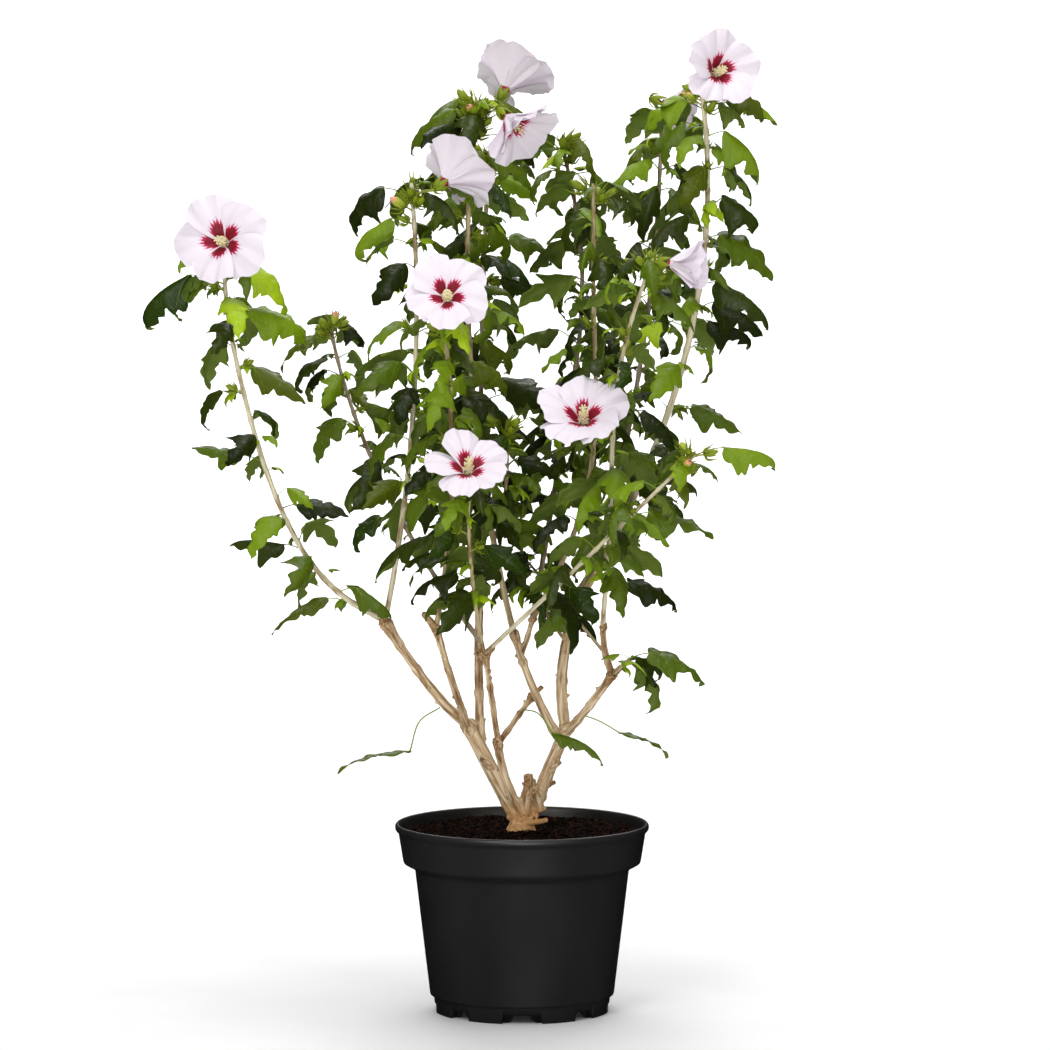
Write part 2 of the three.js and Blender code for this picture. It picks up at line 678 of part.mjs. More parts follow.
/**
 * One mass: the cane's stem with its flowers, outline leaves, side twigs with leaves, and buds.
 * strange holds every limb, other stem and other mass, and nothing of this mass comes near them.
 */
function growMass(cane, order, stem, strange) {
  const line = lineOf(cane);
  const length = lengthOf(cane);
  const twigs = [];
  const spread = [];

  const clearOf = (solid, pieces, distance) => !pieces.some((p) => nearer(solid, p, distance));

  const addIfClear = (solid) => {
    const clear =
      solid.boundingBox().min[2] > FLOOR &&
      clearOf(solid, spread, GAP) &&
      clearOf(solid, strange, LEAF_CLEAR);
    if (clear) spread.push(solid);
    return clear;
  };

  const leafAt = (root, seed, bearing, blade) => {
    for (let attempt = 0; attempt < TRIES; attempt++) {
      const roll = dice(seed * 8 + attempt);
      const leaf = {
        root,
        bearing: bearing + (roll() - 0.5) * (26 + 34 * attempt),
        rise: 8 + 34 * roll(),
        droop: -46 - 48 * roll(),
        roll: (roll() - 0.5) * 120,
        stalk: 14 + 20 * roll(),
        blade: blade * (0.78 + 0.34 * roll()),
      };
      if (addIfClear(leafSolid(leaf))) return;
    }
  };

  /** A side twig with two leaves. */
  const twigAt = (root, heading, seed, bearing) => {
    const roll = dice(seed * 8);
    const lean = level(bearing + (roll() - 0.5) * 50);
    const reach = 26 + 40 * roll();
    const aim = heading.clone().multiplyScalar(0.9).addScaledVector(lean, 0.8).normalize();
    const tip = root.clone().addScaledVector(aim, reach);
    const twig = { foot: root.toArray(), tip: tip.toArray(), bow: [0, 0, 0], radius: TWIG_RADIUS };
    const solid = limbSolid(twig, TWIG_SIDES, reach);
    if (!clearOf(solid, [...spread, ...strange], LEAF_CLEAR)) return;
    twigs.push(solid);
    leafAt(root.clone().lerp(tip, 0.6), seed + 1, bearing - 50, cane.blade * 0.8);
    leafAt(root.clone().lerp(tip, 0.96), seed + 2, bearing + 35, cane.blade * 0.75);
  };

  for (const bloom of BLOOMS.filter(({ on }) => on === cane.name)) {
    const behind = vec(bloom.centre).addScaledVector(vec(bloom.faces), -STALK_REACH);
    const t = shareOfLeast(line, (point) => point.distanceTo(behind));
    const solid = bloomSolid(bloom, line(t));
    if (clearOf(solid, strange, LEAF_CLEAR)) spread.push(solid);
  }
  for (const leaf of OUTLINE_LEAVES.filter(({ on }) => on === cane.name)) {
    const t = shareOfLeast(line, (point) => Math.abs(point.z - leaf.height));
    const roll = Math.cos(rad(leaf.bearing)) > 0 ? OUTLINE_ROLL : -OUTLINE_ROLL;
    addIfClear(leafSolid({ ...leaf, root: line(t), rise: OUTLINE_RISE, roll }));
  }

  const count = Math.max(1, Math.floor((length * (1 - cane.bare)) / LEAF_SPACING));
  const twigEvery = cane.twigs ? Math.max(1, Math.floor(count / (cane.twigs + 1))) : count + 1;
  for (let k = 0; k <= count; k++) {
    const t = Math.min(LAST_SHARE, cane.bare + ((1 - cane.bare) * k) / count);
    const seed = order * 1000 + k * 10;
    const bearing = cane.turn + k * FIFTHS;
    leafAt(line(t), seed, bearing, cane.blade * (1 - TOP_LEAVES_LESS * Math.pow(t, 3)));
    if (k % twigEvery === twigEvery - 1 && k < count) {
      twigAt(line(t), headingOf(line, t), seed + 1, bearing + 180);
    }
  }
  const heading = headingOf(line, LAST_SHARE);
  for (let b = 0; b < cane.buds; b++) {
    const roll = dice(order * 1000 + 900 + b);
    const lean = level(cane.turn + b * FIFTHS + 40);
    const aim = heading.clone().multiplyScalar(0.5 + 0.5 * roll()).add(lean).normalize();
    const from = line(LAST_SHARE).addScaledVector(heading, -10 * b * roll());
    addIfClear(budSolid(from, aim, 8 + 8 * roll(), 17 + 5 * roll()));
  }
  return [stem, ...twigs, ...spread];
}

/** A single leaf on a long stalk that arches over and hangs from its bough. */
function lowLeafSolid({ root, arch, foot, tip }, parent) {
  const stalkLine = new THREE.CatmullRomCurve3([vec(root), vec(arch), vec(foot)]);
  const stalk = closedTube(TWIG_SIDES, 4, false, 0, (share, across, deep) => {
    const heading = stalkLine.getTangent(share);
    const side = heading.clone().cross(UP).normalize();
    const front = heading.clone().cross(side);
    return stalkLine
      .getPoint(share)
      .addScaledVector(side, STALK_RADIUS * across)
      .addScaledVector(front, STALK_RADIUS * deep);
  });
  const along = vec(tip).sub(vec(foot));
  const pitch = THREE.MathUtils.radToDeg(Math.asin(along.z / along.length()));
  const blade = leafSolid({
    root: vec(foot),
    bearing: THREE.MathUtils.radToDeg(Math.atan2(along.y, along.x)),
    rise: pitch + LOW_LEAF_RISE,
    droop: pitch - LOW_LEAF_DROOP,
    roll: 0,
    stalk: 1,
    blade: along.length() * 1.03,
  });
  return fuse([stalk.subtract(parent.grown), blade]);
}

// ---------------------------------------------------------------- pot and soil

/** Radius of the tapering body's outer wall at a height. */
function wallRadius(height) {
  const { bodyFootRadius, bodyFootHeight, bodyTopRadius, bandFootHeight } = POT;
  const share = (height - bodyFootHeight) / (bandFootHeight - bodyFootHeight);
  return bodyFootRadius + (bodyTopRadius - bodyFootRadius) * share;
}

/** The pot: foot ring and pad, tapering body, step, rim band and rolled lip, all one skin. */
function potSolid() {
  const p = POT;
  const innerFloor = p.floorHeight + p.wall;
  const stepRadius = wallRadius(p.stepHeight);
  const skin = turned(
    [
      [0, 0],
      [p.padRadius, 0],
      [p.padRadius + 1, p.floorHeight],
      [p.footInner, p.floorHeight],
      [p.footInner + 1, 0],
      [p.footRadius - 1, 0],
      [p.footRadius + 0.5, p.bodyFootHeight - 1],
      [p.bodyFootRadius, p.bodyFootHeight],
      [stepRadius, p.stepHeight],
      [stepRadius + 3, p.bandFootHeight - 4],
      [p.bandFootRadius, p.bandFootHeight],
      [p.bandTopRadius, p.height - 10],
      [p.lipRadius, p.height - 6],
      [p.lipRadius - 0.5, p.height - 1.5],
      [p.lipRadius - 3, p.height],
      [p.bandTopRadius - p.wall - 1, p.height - 4],
      [p.bandFootRadius - p.wall - 1, p.bandFootHeight + 3],
      [stepRadius - p.wall, p.bandFootHeight - 4],
      [p.bodyFootRadius - p.wall, innerFloor],
      [0, innerFloor],
    ],
    p.segments,
  );
  const cuts = [];
  for (let quarter = 0; quarter < 4; quarter++) {
    for (const [bearing, outer, through] of p.notches) {
      const steps = [
        [outer, p.notchLedge],
        [through, p.footInner - 8],
      ];
      for (const [width, from] of steps) {
        const depth = p.footRadius + 8 - from;
        const box = new THREE.BoxGeometry(width, depth, p.notchHeight * 2);
        box.translate(0, -from - depth / 2, 0);
        box.rotateZ(rad(bearing) + (Math.PI / 2) * quarter);
        cuts.push(solidOf(box));
      }
    }
  }
  return solidOf(skin).subtract(Manifold.union(cuts));
}

/** The soil that fills the pot, a little below its rim and clear of its wall. */
function soilSolid() {
  const p = POT;
  const inset = p.wall + GAP + 0.6;
  const bottom = p.floorHeight + p.wall + GAP;
  const bandRadius = p.bandFootRadius - inset;
  return solidOf(
    turned(
      [
        [0, bottom],
        [p.bodyFootRadius - inset, bottom],
        [wallRadius(p.stepHeight) - inset, p.bandFootHeight - 3.5],
        [bandRadius - 3.5, p.bandFootHeight + 6],
        [bandRadius + 2, SOIL_EDGE],
        [SOIL_FLAT, SOIL_TOP],
        [0, SOIL_TOP],
      ],
      p.segments,
    ),
  );
}

// ---------------------------------------------------------------- the shrub

const shrub = new THREE.Group();

function addNode(name, solid, material) {
  const mesh = new THREE.Mesh(geometryOf(solid), material);
  mesh.name = name;
  shrub.add(mesh);
}

const limbs = new Map();
const trunk = trunkSolid();
limbs.set("trunk", { solid: trunk, grown: fattened(trunk, GAP) });
for (const limb of LIMBS) {
  limbs.set(limb.name, clearLimb(limb, LIMB_SIDES, LIMB_STEP, [...limbs.values()]));
}

// Every stem comes before any leaf, so that all leaves keep clear of all stems.
const stems = [];
for (const cane of CANES) {
  stems.push(clearLimb(cane, CANE_SIDES, CANE_STEP, [...limbs.values(), ...stems]));
}
const masses = stems.map(({ solid }) => [solid]);
CANES.forEach((cane, i) => {
  const strange = [...limbs.values()].map(({ solid }) => solid);
  masses.forEach((pieces, j) => j !== i && strange.push(...pieces));
  masses[i] = growMass(cane, i + 1, stems[i].solid, strange);
});

addNode("pot", potSolid(), FINISH.pot);
addNode("soil", soilSolid(), FINISH.soil);
limbs.forEach(({ solid }, name) => addNode(name, solid, FINISH.bark));
CANES.forEach(({ name }, i) => addNode(name, fuse(masses[i]), FINISH.leaf));
for (const leaf of LOW_LEAVES) {
  addNode(leaf.name, lowLeafSolid(leaf, limbs.get(leaf.on)), FINISH.leaf);
}

export default shrub;
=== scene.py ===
import math

import bpy
import numpy as np
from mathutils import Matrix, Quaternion, Vector, kdtree, noise
from mathutils.bvhtree import BVHTree


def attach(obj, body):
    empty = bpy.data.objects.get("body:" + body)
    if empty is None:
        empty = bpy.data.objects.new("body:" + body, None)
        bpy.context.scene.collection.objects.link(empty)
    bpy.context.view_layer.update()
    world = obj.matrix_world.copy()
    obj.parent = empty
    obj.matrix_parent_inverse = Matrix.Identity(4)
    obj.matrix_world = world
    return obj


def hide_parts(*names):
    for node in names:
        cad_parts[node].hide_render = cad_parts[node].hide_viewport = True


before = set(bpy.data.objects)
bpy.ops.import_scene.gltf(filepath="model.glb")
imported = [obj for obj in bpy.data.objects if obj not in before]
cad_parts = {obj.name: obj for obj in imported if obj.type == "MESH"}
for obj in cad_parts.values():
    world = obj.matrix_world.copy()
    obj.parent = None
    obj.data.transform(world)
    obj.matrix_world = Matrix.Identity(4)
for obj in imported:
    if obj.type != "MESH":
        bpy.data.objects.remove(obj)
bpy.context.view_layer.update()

# A rose-of-Sharon hibiscus shrub in a black nursery pot. Shapes are worked out in millimetres, with
# +Z up and the front towards -Y, and are scaled to metres when a piece is made. Bearings and pitches
# are in degrees. What is called a share runs from 0 at the foot or root to 1 at the tip.
MM = 0.001
UP = Vector((0, 0, 1))
TAU = 2 * math.pi

# ---- the shrub's own sizes

GAP = 0.35
LEAF_CLEAR = 0.8
SUNK = 1.6
LIMB_SIDES, CANE_SIDES, TWIG_SIDES = 6, 5, 3
LIMB_STEP, CANE_STEP = 34, 72
KNOT_FROM = 0.8
BLADE = ((0.2, 0.28), (0.46, 0.29), (1, 0))
STALK_RADIUS = 0.8
KEEL_SHARE = 0.013
BLADE_SAG = 0.3
HANG_SHARE = 0.42
CURL_SHARE = 0.75
TWIG_RADIUS = (1.5, 1.1)
FIFTHS = 144
LEAF_SPACING = 22.5
LAST_SHARE = 0.985
TOP_LEAVES_LESS = 0.3
TRIES = 7
SEARCH = 60
POT_HEIGHT = 210
FLOOR = POT_HEIGHT + 16
SOIL_TOP = 203
CALYX_LENGTH, CALYX_RADIUS, NECK, SKIN, NOTCH, RIPPLE = 18, 6.5, 3, 1.1, 0.1, 0.04
BLOOM_SEGMENTS = 15
STALK_REACH = 30
OUTLINE_RISE, OUTLINE_ROLL = 16, 42
LOW_LEAF_RISE, LOW_LEAF_DROOP = 30, 10
LOW_LEAF_SLIM = 0.58
NONE = (0, 0, 0)

# name: foot, tip, swerve at the middle, radius at foot and tip, swelling of the tip
LIMBS = {
    "stem_left": ((-7, 1, 220), (-62, 10, 322), (-1, 1, 0), (9.2, 7.8), 1.1),
    "stem_middle": ((0, -7, 222), (-27, -14, 303), (-5, -2, 0), (5, 4.4), 1.3),
    "stem_right": ((10, 2, 220), (50, 8, 317), NONE, (8, 6.8), 1.15),
    "bough_left_low": ((-57, 9, 316), (-152, -20, 437), (3, 1, -15), (5.8, 4.6), 1.5),
    "bough_left_inner": ((-59, 6, 314), (-95, -50, 435), (-2, -8, 2), (4.4, 3.5), 1.5),
    "bough_centre_left": ((-46, 12, 296), (-47, 56, 480), (-2, 4, 0), (5.4, 4.2), 1.1),
    "bough_centre": ((-26, -14, 300), (-41, -36, 403), (0, -2, 0), (3.5, 3), 1.6),
    "bough_cross": ((-25, -12, 301), (11, 24, 348), (0, 2, 0), (3.4, 2.8), 1.5),
    "bough_centre_right": ((43, 5, 300), (-9, 2, 423), (-5, -10, 0), (5.4, 3.6), 1.3),
    "bough_centre_fork": ((-1, -3, 399), (12, -2, 439), (1, 0, 0), (3.2, 2.8), 1.4),
    "bough_right_upright": ((49, 7, 311), (84, 60, 493), (-18, 8, 0), (6.4, 5.8), 1),
    "bough_right_low": ((51, 4, 312), (100, -38, 380), (0, -3, -2), (4.8, 4.2), 1.35),
    "bough_right_bent": ((99, -37, 379), (89, -52, 436), (-3, 0, 0), (4.2, 3.2), 1.3),
}
TRUNK_HEIGHT, TRUNK_SUNK = 30, 2.5
TRUNK_FOOT = (-2, -1, SOIL_TOP + GAP)
TRUNK_TOP = (-1, 0, SOIL_TOP + GAP + TRUNK_HEIGHT)
STUMP = ((3, -4, 222), (7, -8, 265), (2, -1, 0), (7, 5.4), 1)
STUB = ((4, -6, 211), (28, -15, 215), (0, 0, -1), (3.8, 2.8), 1)

# name: foot, tip, bow, sway, radius at foot and tip, bare share, first bearing, longest blade,
# side twigs, buds at the tip
CANES = {
    "cane_left_outer": (
        (-152, -20, 438), (-324, -66, 836), (-47, -10, -17), (0, 0, -24), (3.3, 2.2),
        0.1, 190, 92, 2, 0),
    "cane_left_tall": (
        (-151, -19, 439), (-122, 6, 920), (17, 8, 0), NONE, (3.2, 2.4), 0.26, 100, 84, 5, 4),
    "cane_diagonal": (
        (-48, 40, 410), (-219, 182, 758), (-26, 10, 0), NONE, (3, 2), 0.3, 60, 88, 4, 3),
    "cane_inner_left": (
        (-94, -49, 435), (-84, -150, 768), (13, -12, 0), NONE, (3.1, 2.3), 0.22, 20, 90, 4, 1),
    "cane_front_thin": (
        (-42, -38, 404), (-57, -205, 598), (-5, -6, 0), NONE, (2.3, 1.8), 0.34, 250, 76, 2, 1),
    "cane_front_diagonal": (
        (-40, -38, 404), (184, -265, 640), (0, -12, 0), NONE, (2.7, 1.8), 0.3, 300, 84, 3, 3),
    "cane_top": (
        (-9, 2, 421), (-50, 24, 1012), (-27, 6, 0), NONE, (3.6, 2.3), 0.2, 160, 88, 7, 6),
    "cane_rear_tall": (
        (-46, 57, 481), (-38, 236, 953), (-4, 26, 0), NONE, (3.1, 2.1), 0.12, 45, 86, 6, 3),
    "cane_small": (
        (-46, 55, 481), (-18, -112, 662), (12, 6, 0), NONE, (2.2, 1.6), 0.25, 330, 70, 2, 3),
    "cane_rear_right": (
        (12, -1, 440), (43, 210, 966), (32, 24, 0), (-8, 0, 0), (3.2, 2.1), 0.24, 80, 88, 6, 4),
    "cane_centre_right": (
        (13, -4, 440), (79, 66, 918), (36, -6, 0), (10, 0, 0), (3.2, 2.1), 0.22, 10, 86, 5, 3),
    "cane_inner_right": (
        (89, -53, 437), (141, -160, 842), (-17, -14, 0), (6, 0, 0), (3, 2), 0.14, 280, 84, 5, 3),
    "cane_rear_far": (
        (84, 63, 494), (158, 190, 998), (18, 26, 0), NONE, (3.1, 2.1), 0.1, 120, 88, 5, 3),
    "cane_right_tall": (
        (86, 58, 494), (197, -16, 1022), (46, -10, 0), NONE, (4.2, 2.6), 0.12, 340, 92, 5, 2),
    "shoot_back": ((88, -45, 408), (1, 62, 502), NONE, NONE, (1.8, 1.3), 0.35, 150, 72, 1, 0),
    "shoot_inner": ((46, 39, 412), (6, 26, 470), NONE, NONE, (2.2, 1.4), 0.4, 30, 66, 0, 0),
    "shoot_right_low": (
        (100, -39, 380), (118, -62, 400), NONE, NONE, (2.2, 1.6), 0.3, 350, 78, 0, 0),
}

# mass: height of the root, bearing, stalk, blade, droop of the tip
OUTLINE_LEAVES = {
    "cane_left_outer": (
        (808, 190, 40, 106, -72), (828, -8, 24, 84, -80), (778, 12, 24, 104, -42),
        (614, 172, 26, 94, 6), (520, 178, 20, 88, 2), (564, -12, 20, 88, -26)),
    "cane_left_tall": ((904, 172, 34, 84, -78), (870, 184, 26, 86, -72)),
    "cane_top": ((998, 178, 24, 86, -64), (1008, -6, 26, 74, -62)),
    "cane_right_tall": (
        (1014, -10, 34, 62, -66), (974, 4, 22, 86, -84), (916, -6, 20, 98, -74),
        (854, 8, 16, 92, -62), (806, -14, 18, 96, -62), (760, 2, 18, 84, -40),
        (1008, 172, 20, 72, -56)),
    "cane_front_diagonal": ((636, 2, 34, 96, -24), (568, -16, 22, 86, -34)),
    "shoot_right_low": ((400, 4, 22, 86, -44), (394, 40, 18, 78, -36)),
    "cane_inner_right": ((478, 12, 26, 92, -42), (454, -20, 22, 88, -52)),
}

# mass, centre, the way it faces, turn, spread, petal length, how broad the petals are
BLOOMS = (
    ("cane_left_outer", (-323, -84, 856), (-0.24, -1, 0.34), 10, 84, 52, 1.0),
    ("cane_top", (-20, 40, 1020), (0.34, 0.62, 0.66), 30, 58, 58, 1.06),
    ("cane_top", (-18, -34, 994), (0.62, -0.5, -0.6), 0, 50, 54, 0.95),
    ("cane_left_tall", (-87, -26, 920), (0.6, 0.62, 0.46), 20, 66, 56, 0.95),
    ("cane_right_tall", (210, -34, 1040), (0.4, -0.82, 0.3), 20, 64, 50, 0.95),
    ("cane_rear_far", (158, 168, 1008), (0.85, -0.25, -0.3), 0, 34, 42, 1.0),
    ("cane_inner_left", (-80, -180, 800), (0.02, -0.9, 0.42), 36, 82, 45, 1.05),
    ("cane_centre_right", (66, -160, 664), (0, -0.7, 0.7), 0, 70, 55, 0.94),
    ("cane_front_thin", (-58, -228, 616), (0.1, -0.72, 0.72), 20, 82, 46, 0.84),
    ("cane_inner_right", (156, -182, 838), (0.95, -0.25, -0.08), 0, 30, 44, 1.0),
)

# name: root, top of the stalk's arch, blade's root, tip
LOW_LEAVES = {
    "low_leaf_left": ((-91, -2, 339), (-114, -12, 324), (-124, -20, 292), (-205, -30, 276)),
    "low_leaf_middle": ((1, 14, 335), (18, -18, 334), (34, -40, 315), (94, -70, 292)),
    "low_leaf_right": ((66, -10, 332), (86, -22, 326), (108, -30, 314), (164, -32, 293)),
}

# ---- numbers and lines


def rad(degrees):
    return math.radians(degrees)


def level(bearing):
    return Vector((math.cos(rad(bearing)), math.sin(rad(bearing)), 0))


def spun(vector, axis, angle):
    return Quaternion(axis, angle) @ vector


def smoothstep(x, low, high):
    t = min(1.0, max(0.0, (x - low) / (high - low)))
    return t * t * (3 - 2 * t)


def dice(seed):
    """Numbers from 0 to 1, always the same for the same seed."""
    state = ((seed + 1) * 2654435761) & 0xFFFFFFFF

    def following():
        nonlocal state
        state = (state * 1664525 + 1013904223) & 0xFFFFFFFF
        return state / 4294967296

    following()
    following()
    return following


def line_of(foot, tip, bow=NONE, sway=NONE):
    foot, tip, bow, sway = Vector(foot), Vector(tip), Vector(bow), Vector(sway)

    def at(t):
        return foot.lerp(tip, t) + bow * (4 * t * (1 - t)) + sway * math.sin(TAU * t)

    return at


def heading_of(line, t):
    return (line(t + 0.01) - line(t - 0.01)).normalized()


# ---- the rule's plain solids


class Solid:
    """A plain solid of the rule, kept to test what comes near it."""

    def __init__(self, points, faces):
        self.points, self.faces = points, faces
        self.low = [min(p[i] for p in points) for i in range(3)]
        self.high = [max(p[i] for p in points) for i in range(3)]
        self.tree = BVHTree.FromPolygons(points, faces)

    def fatter(self, by):
        normals = [Vector() for _ in self.points]
        for face in self.faces:
            a, b, c = (self.points[i] for i in face[:3])
            normal = (b - a).cross(c - a)
            for i in face:
                normals[i] += normal
        out = [p + n.normalized() * by for p, n in zip(self.points, normals)]
        return BVHTree.FromPolygons(out, self.faces)


def closed_tube(sides, steps, pointed, first_angle, point_at):
    points, faces = [], []
    rings = steps if pointed else steps + 1
    for ring in range(rings):
        for side in range(sides):
            angle = first_angle + TAU * side / sides
            points.append(point_at(ring / steps, math.sin(angle), math.cos(angle)))
    for ring in range(rings - 1):
        for side in range(sides):
            a, b = ring * sides + side, ring * sides + (side + 1) % sides
            faces.append((a, b, b + sides, a + sides))
    faces.append(tuple(reversed(range(sides))))
    last = (rings - 1) * sides
    if pointed:
        points.append(point_at(1, 0, 0))
        tip = len(points) - 1
        faces += [(last + s, last + (s + 1) % sides, tip) for s in range(sides)]
    else:
        faces.append(tuple(range(last, last + sides)))
    return Solid(points, faces)


def limb_solid(foot, tip, bow, sway, radius, sides, spacing, knot=1):
    line = line_of(foot, tip, bow, sway)
    length = (Vector(foot) - Vector(tip)).length

    def point_at(share, across, deep):
        heading = heading_of(line, share)
        side = Vector((0, 1, 0)).cross(heading).normalized()
        front = heading.cross(side)
        swell = 1 + (knot - 1) * smoothstep(share, KNOT_FROM, 1)
        r = (radius[0] + (radius[1] - radius[0]) * share) * swell
        return line(share) + side * (r * across) + front * (r * deep)

    return closed_tube(sides, max(2, round(length / spacing)), False, 0, point_at)


def leaf_frame(leaf):
    """The directions that shape a leaf: its stalk's, its blade's first one and its blade's side."""
    out, across = level(leaf["bearing"]), level(leaf["bearing"] + 90)

    def pitched(pitch):
        return out * math.cos(rad(pitch)) + UP * math.sin(rad(pitch))

    first = pitched(leaf["rise"])
    hang = pitched(leaf["rise"] + (leaf["droop"] - leaf["rise"]) * HANG_SHARE)
    side = spun(across, hang, rad(leaf["roll"]))
    stalk_side = spun(across, first, rad(leaf["roll"]))
    return first, hang, side, stalk_side, rad((leaf["rise"] - leaf["droop"]) * CURL_SHARE)


def leaf_solid(leaf):
    first, hang, side, stalk_side, curl = leaf_frame(leaf)
    root, blade = leaf["root"], leaf["blade"]
    centre = root + first * leaf["stalk"]
    rings = [
        (root - first * SUNK, stalk_side, first.cross(stalk_side), STALK_RADIUS),
        (centre, stalk_side, first.cross(stalk_side), STALK_RADIUS),
    ]
    before = 0
    for share, half in BLADE:
        heading = spun(hang, side, curl * (share + before) / 2)
        centre = centre + heading * ((share - before) * blade)
        rings.append((centre, side, heading.cross(side), half * blade))
        before = share
    steps = len(rings) - 1
    keel = max(1, blade * KEEL_SHARE)

    def point_at(share, across, deep):
        middle, ring_side, ring_up, half = rings[round(share * steps)]
        if deep > 0.01:
            return middle + ring_side * math.copysign(half, across) - ring_up * BLADE_SAG
        return middle + ring_up * (keel if deep < -0.01 else 0)

    return closed_tube(3, steps, True, math.pi / 3, point_at)


def bud_solid(root, heading, stalk, size):
    marks = (-SUNK, stalk, stalk + size * 0.4, stalk + size)
    radii = (0.9, 1.6, size * 0.27, 0)
    side = heading.cross(Vector((0.3, 1, 0.1))).normalized()
    front = heading.cross(side)

    def point_at(share, across, deep):
        i = round(share * 3)
        return root + heading * marks[i] + side * (radii[i] * across) + front * (radii[i] * deep)

    return closed_tube(3, 3, True, 0, point_at)


def bloom_frame(bloom):
    """Takes a point of a flower that faces up to its place."""
    _, centre, faces, turn, _, _, _ = bloom
    facing = UP.rotation_difference(Vector(faces).normalized())
    spin = Quaternion(UP, rad(turn))
    return lambda point: facing @ (spin @ point) + Vector(centre)


def petal_ring(bloom, share):
    angle = rad(bloom[4] * (0.4 + 0.46 * share))
    return NECK + bloom[5] * share * math.sin(angle), bloom[5] * share * math.cos(angle)


def bloom_solid(bloom):
    petal = bloom[5]
    middle, rim = petal_ring(bloom, 0.5), petal_ring(bloom, 1)
    profile = ((CALYX_RADIUS, -CALYX_LENGTH / 2), (middle[0], middle[1] - SKIN), rim,
               (middle[0], middle[1] + SKIN / 2))
    place = bloom_frame(bloom)
    points, faces = [place(Vector((0, 0, -CALYX_LENGTH)))], []
    for radius, rise in profile:
        for i in range(BLOOM_SEGMENTS):
            angle = TAU * i / BLOOM_SEGMENTS
            point = Vector((radius * math.sin(angle), radius * math.cos(angle), rise))
            fold = math.cos(5 * math.atan2(point.x, -point.y))
            if radius > middle[0] + 1:
                point.x *= 1 - NOTCH * fold
                point.y *= 1 - NOTCH * fold
                point.z += petal * RIPPLE * fold
            points.append(place(point))
    points.append(place(Vector((0, 0, 2 * SKIN))))
    n, last = BLOOM_SEGMENTS, len(points) - 1
    for i in range(n):
        j = (i + 1) % n
        faces.append((0, 1 + j, 1 + i))
        for ring in range(3):
            a, b = 1 + ring * n + i, 1 + ring * n + j
            faces.append((a, b, b + n, a + n))
        faces.append((1 + 3 * n + i, 1 + 3 * n + j, last))
    return Solid(points, faces)


def near_box(a, b, distance):
    return all(a.low[i] <= b.high[i] + distance and b.low[i] <= a.high[i] + distance
               for i in range(3))


def clear_of(solid, others, distance):
    near = [other for other in others if near_box(solid, other, distance)]
    if not near:
        return True
    tree = solid.fatter(distance)
    return not any(tree.overlap(other.tree) for other in near)


def share_of_least(line, measure):
    shares = [i / SEARCH * LAST_SHARE for i in range(SEARCH + 1)]
    return min(shares, key=lambda t: measure(line(t)))


# ---- the rule


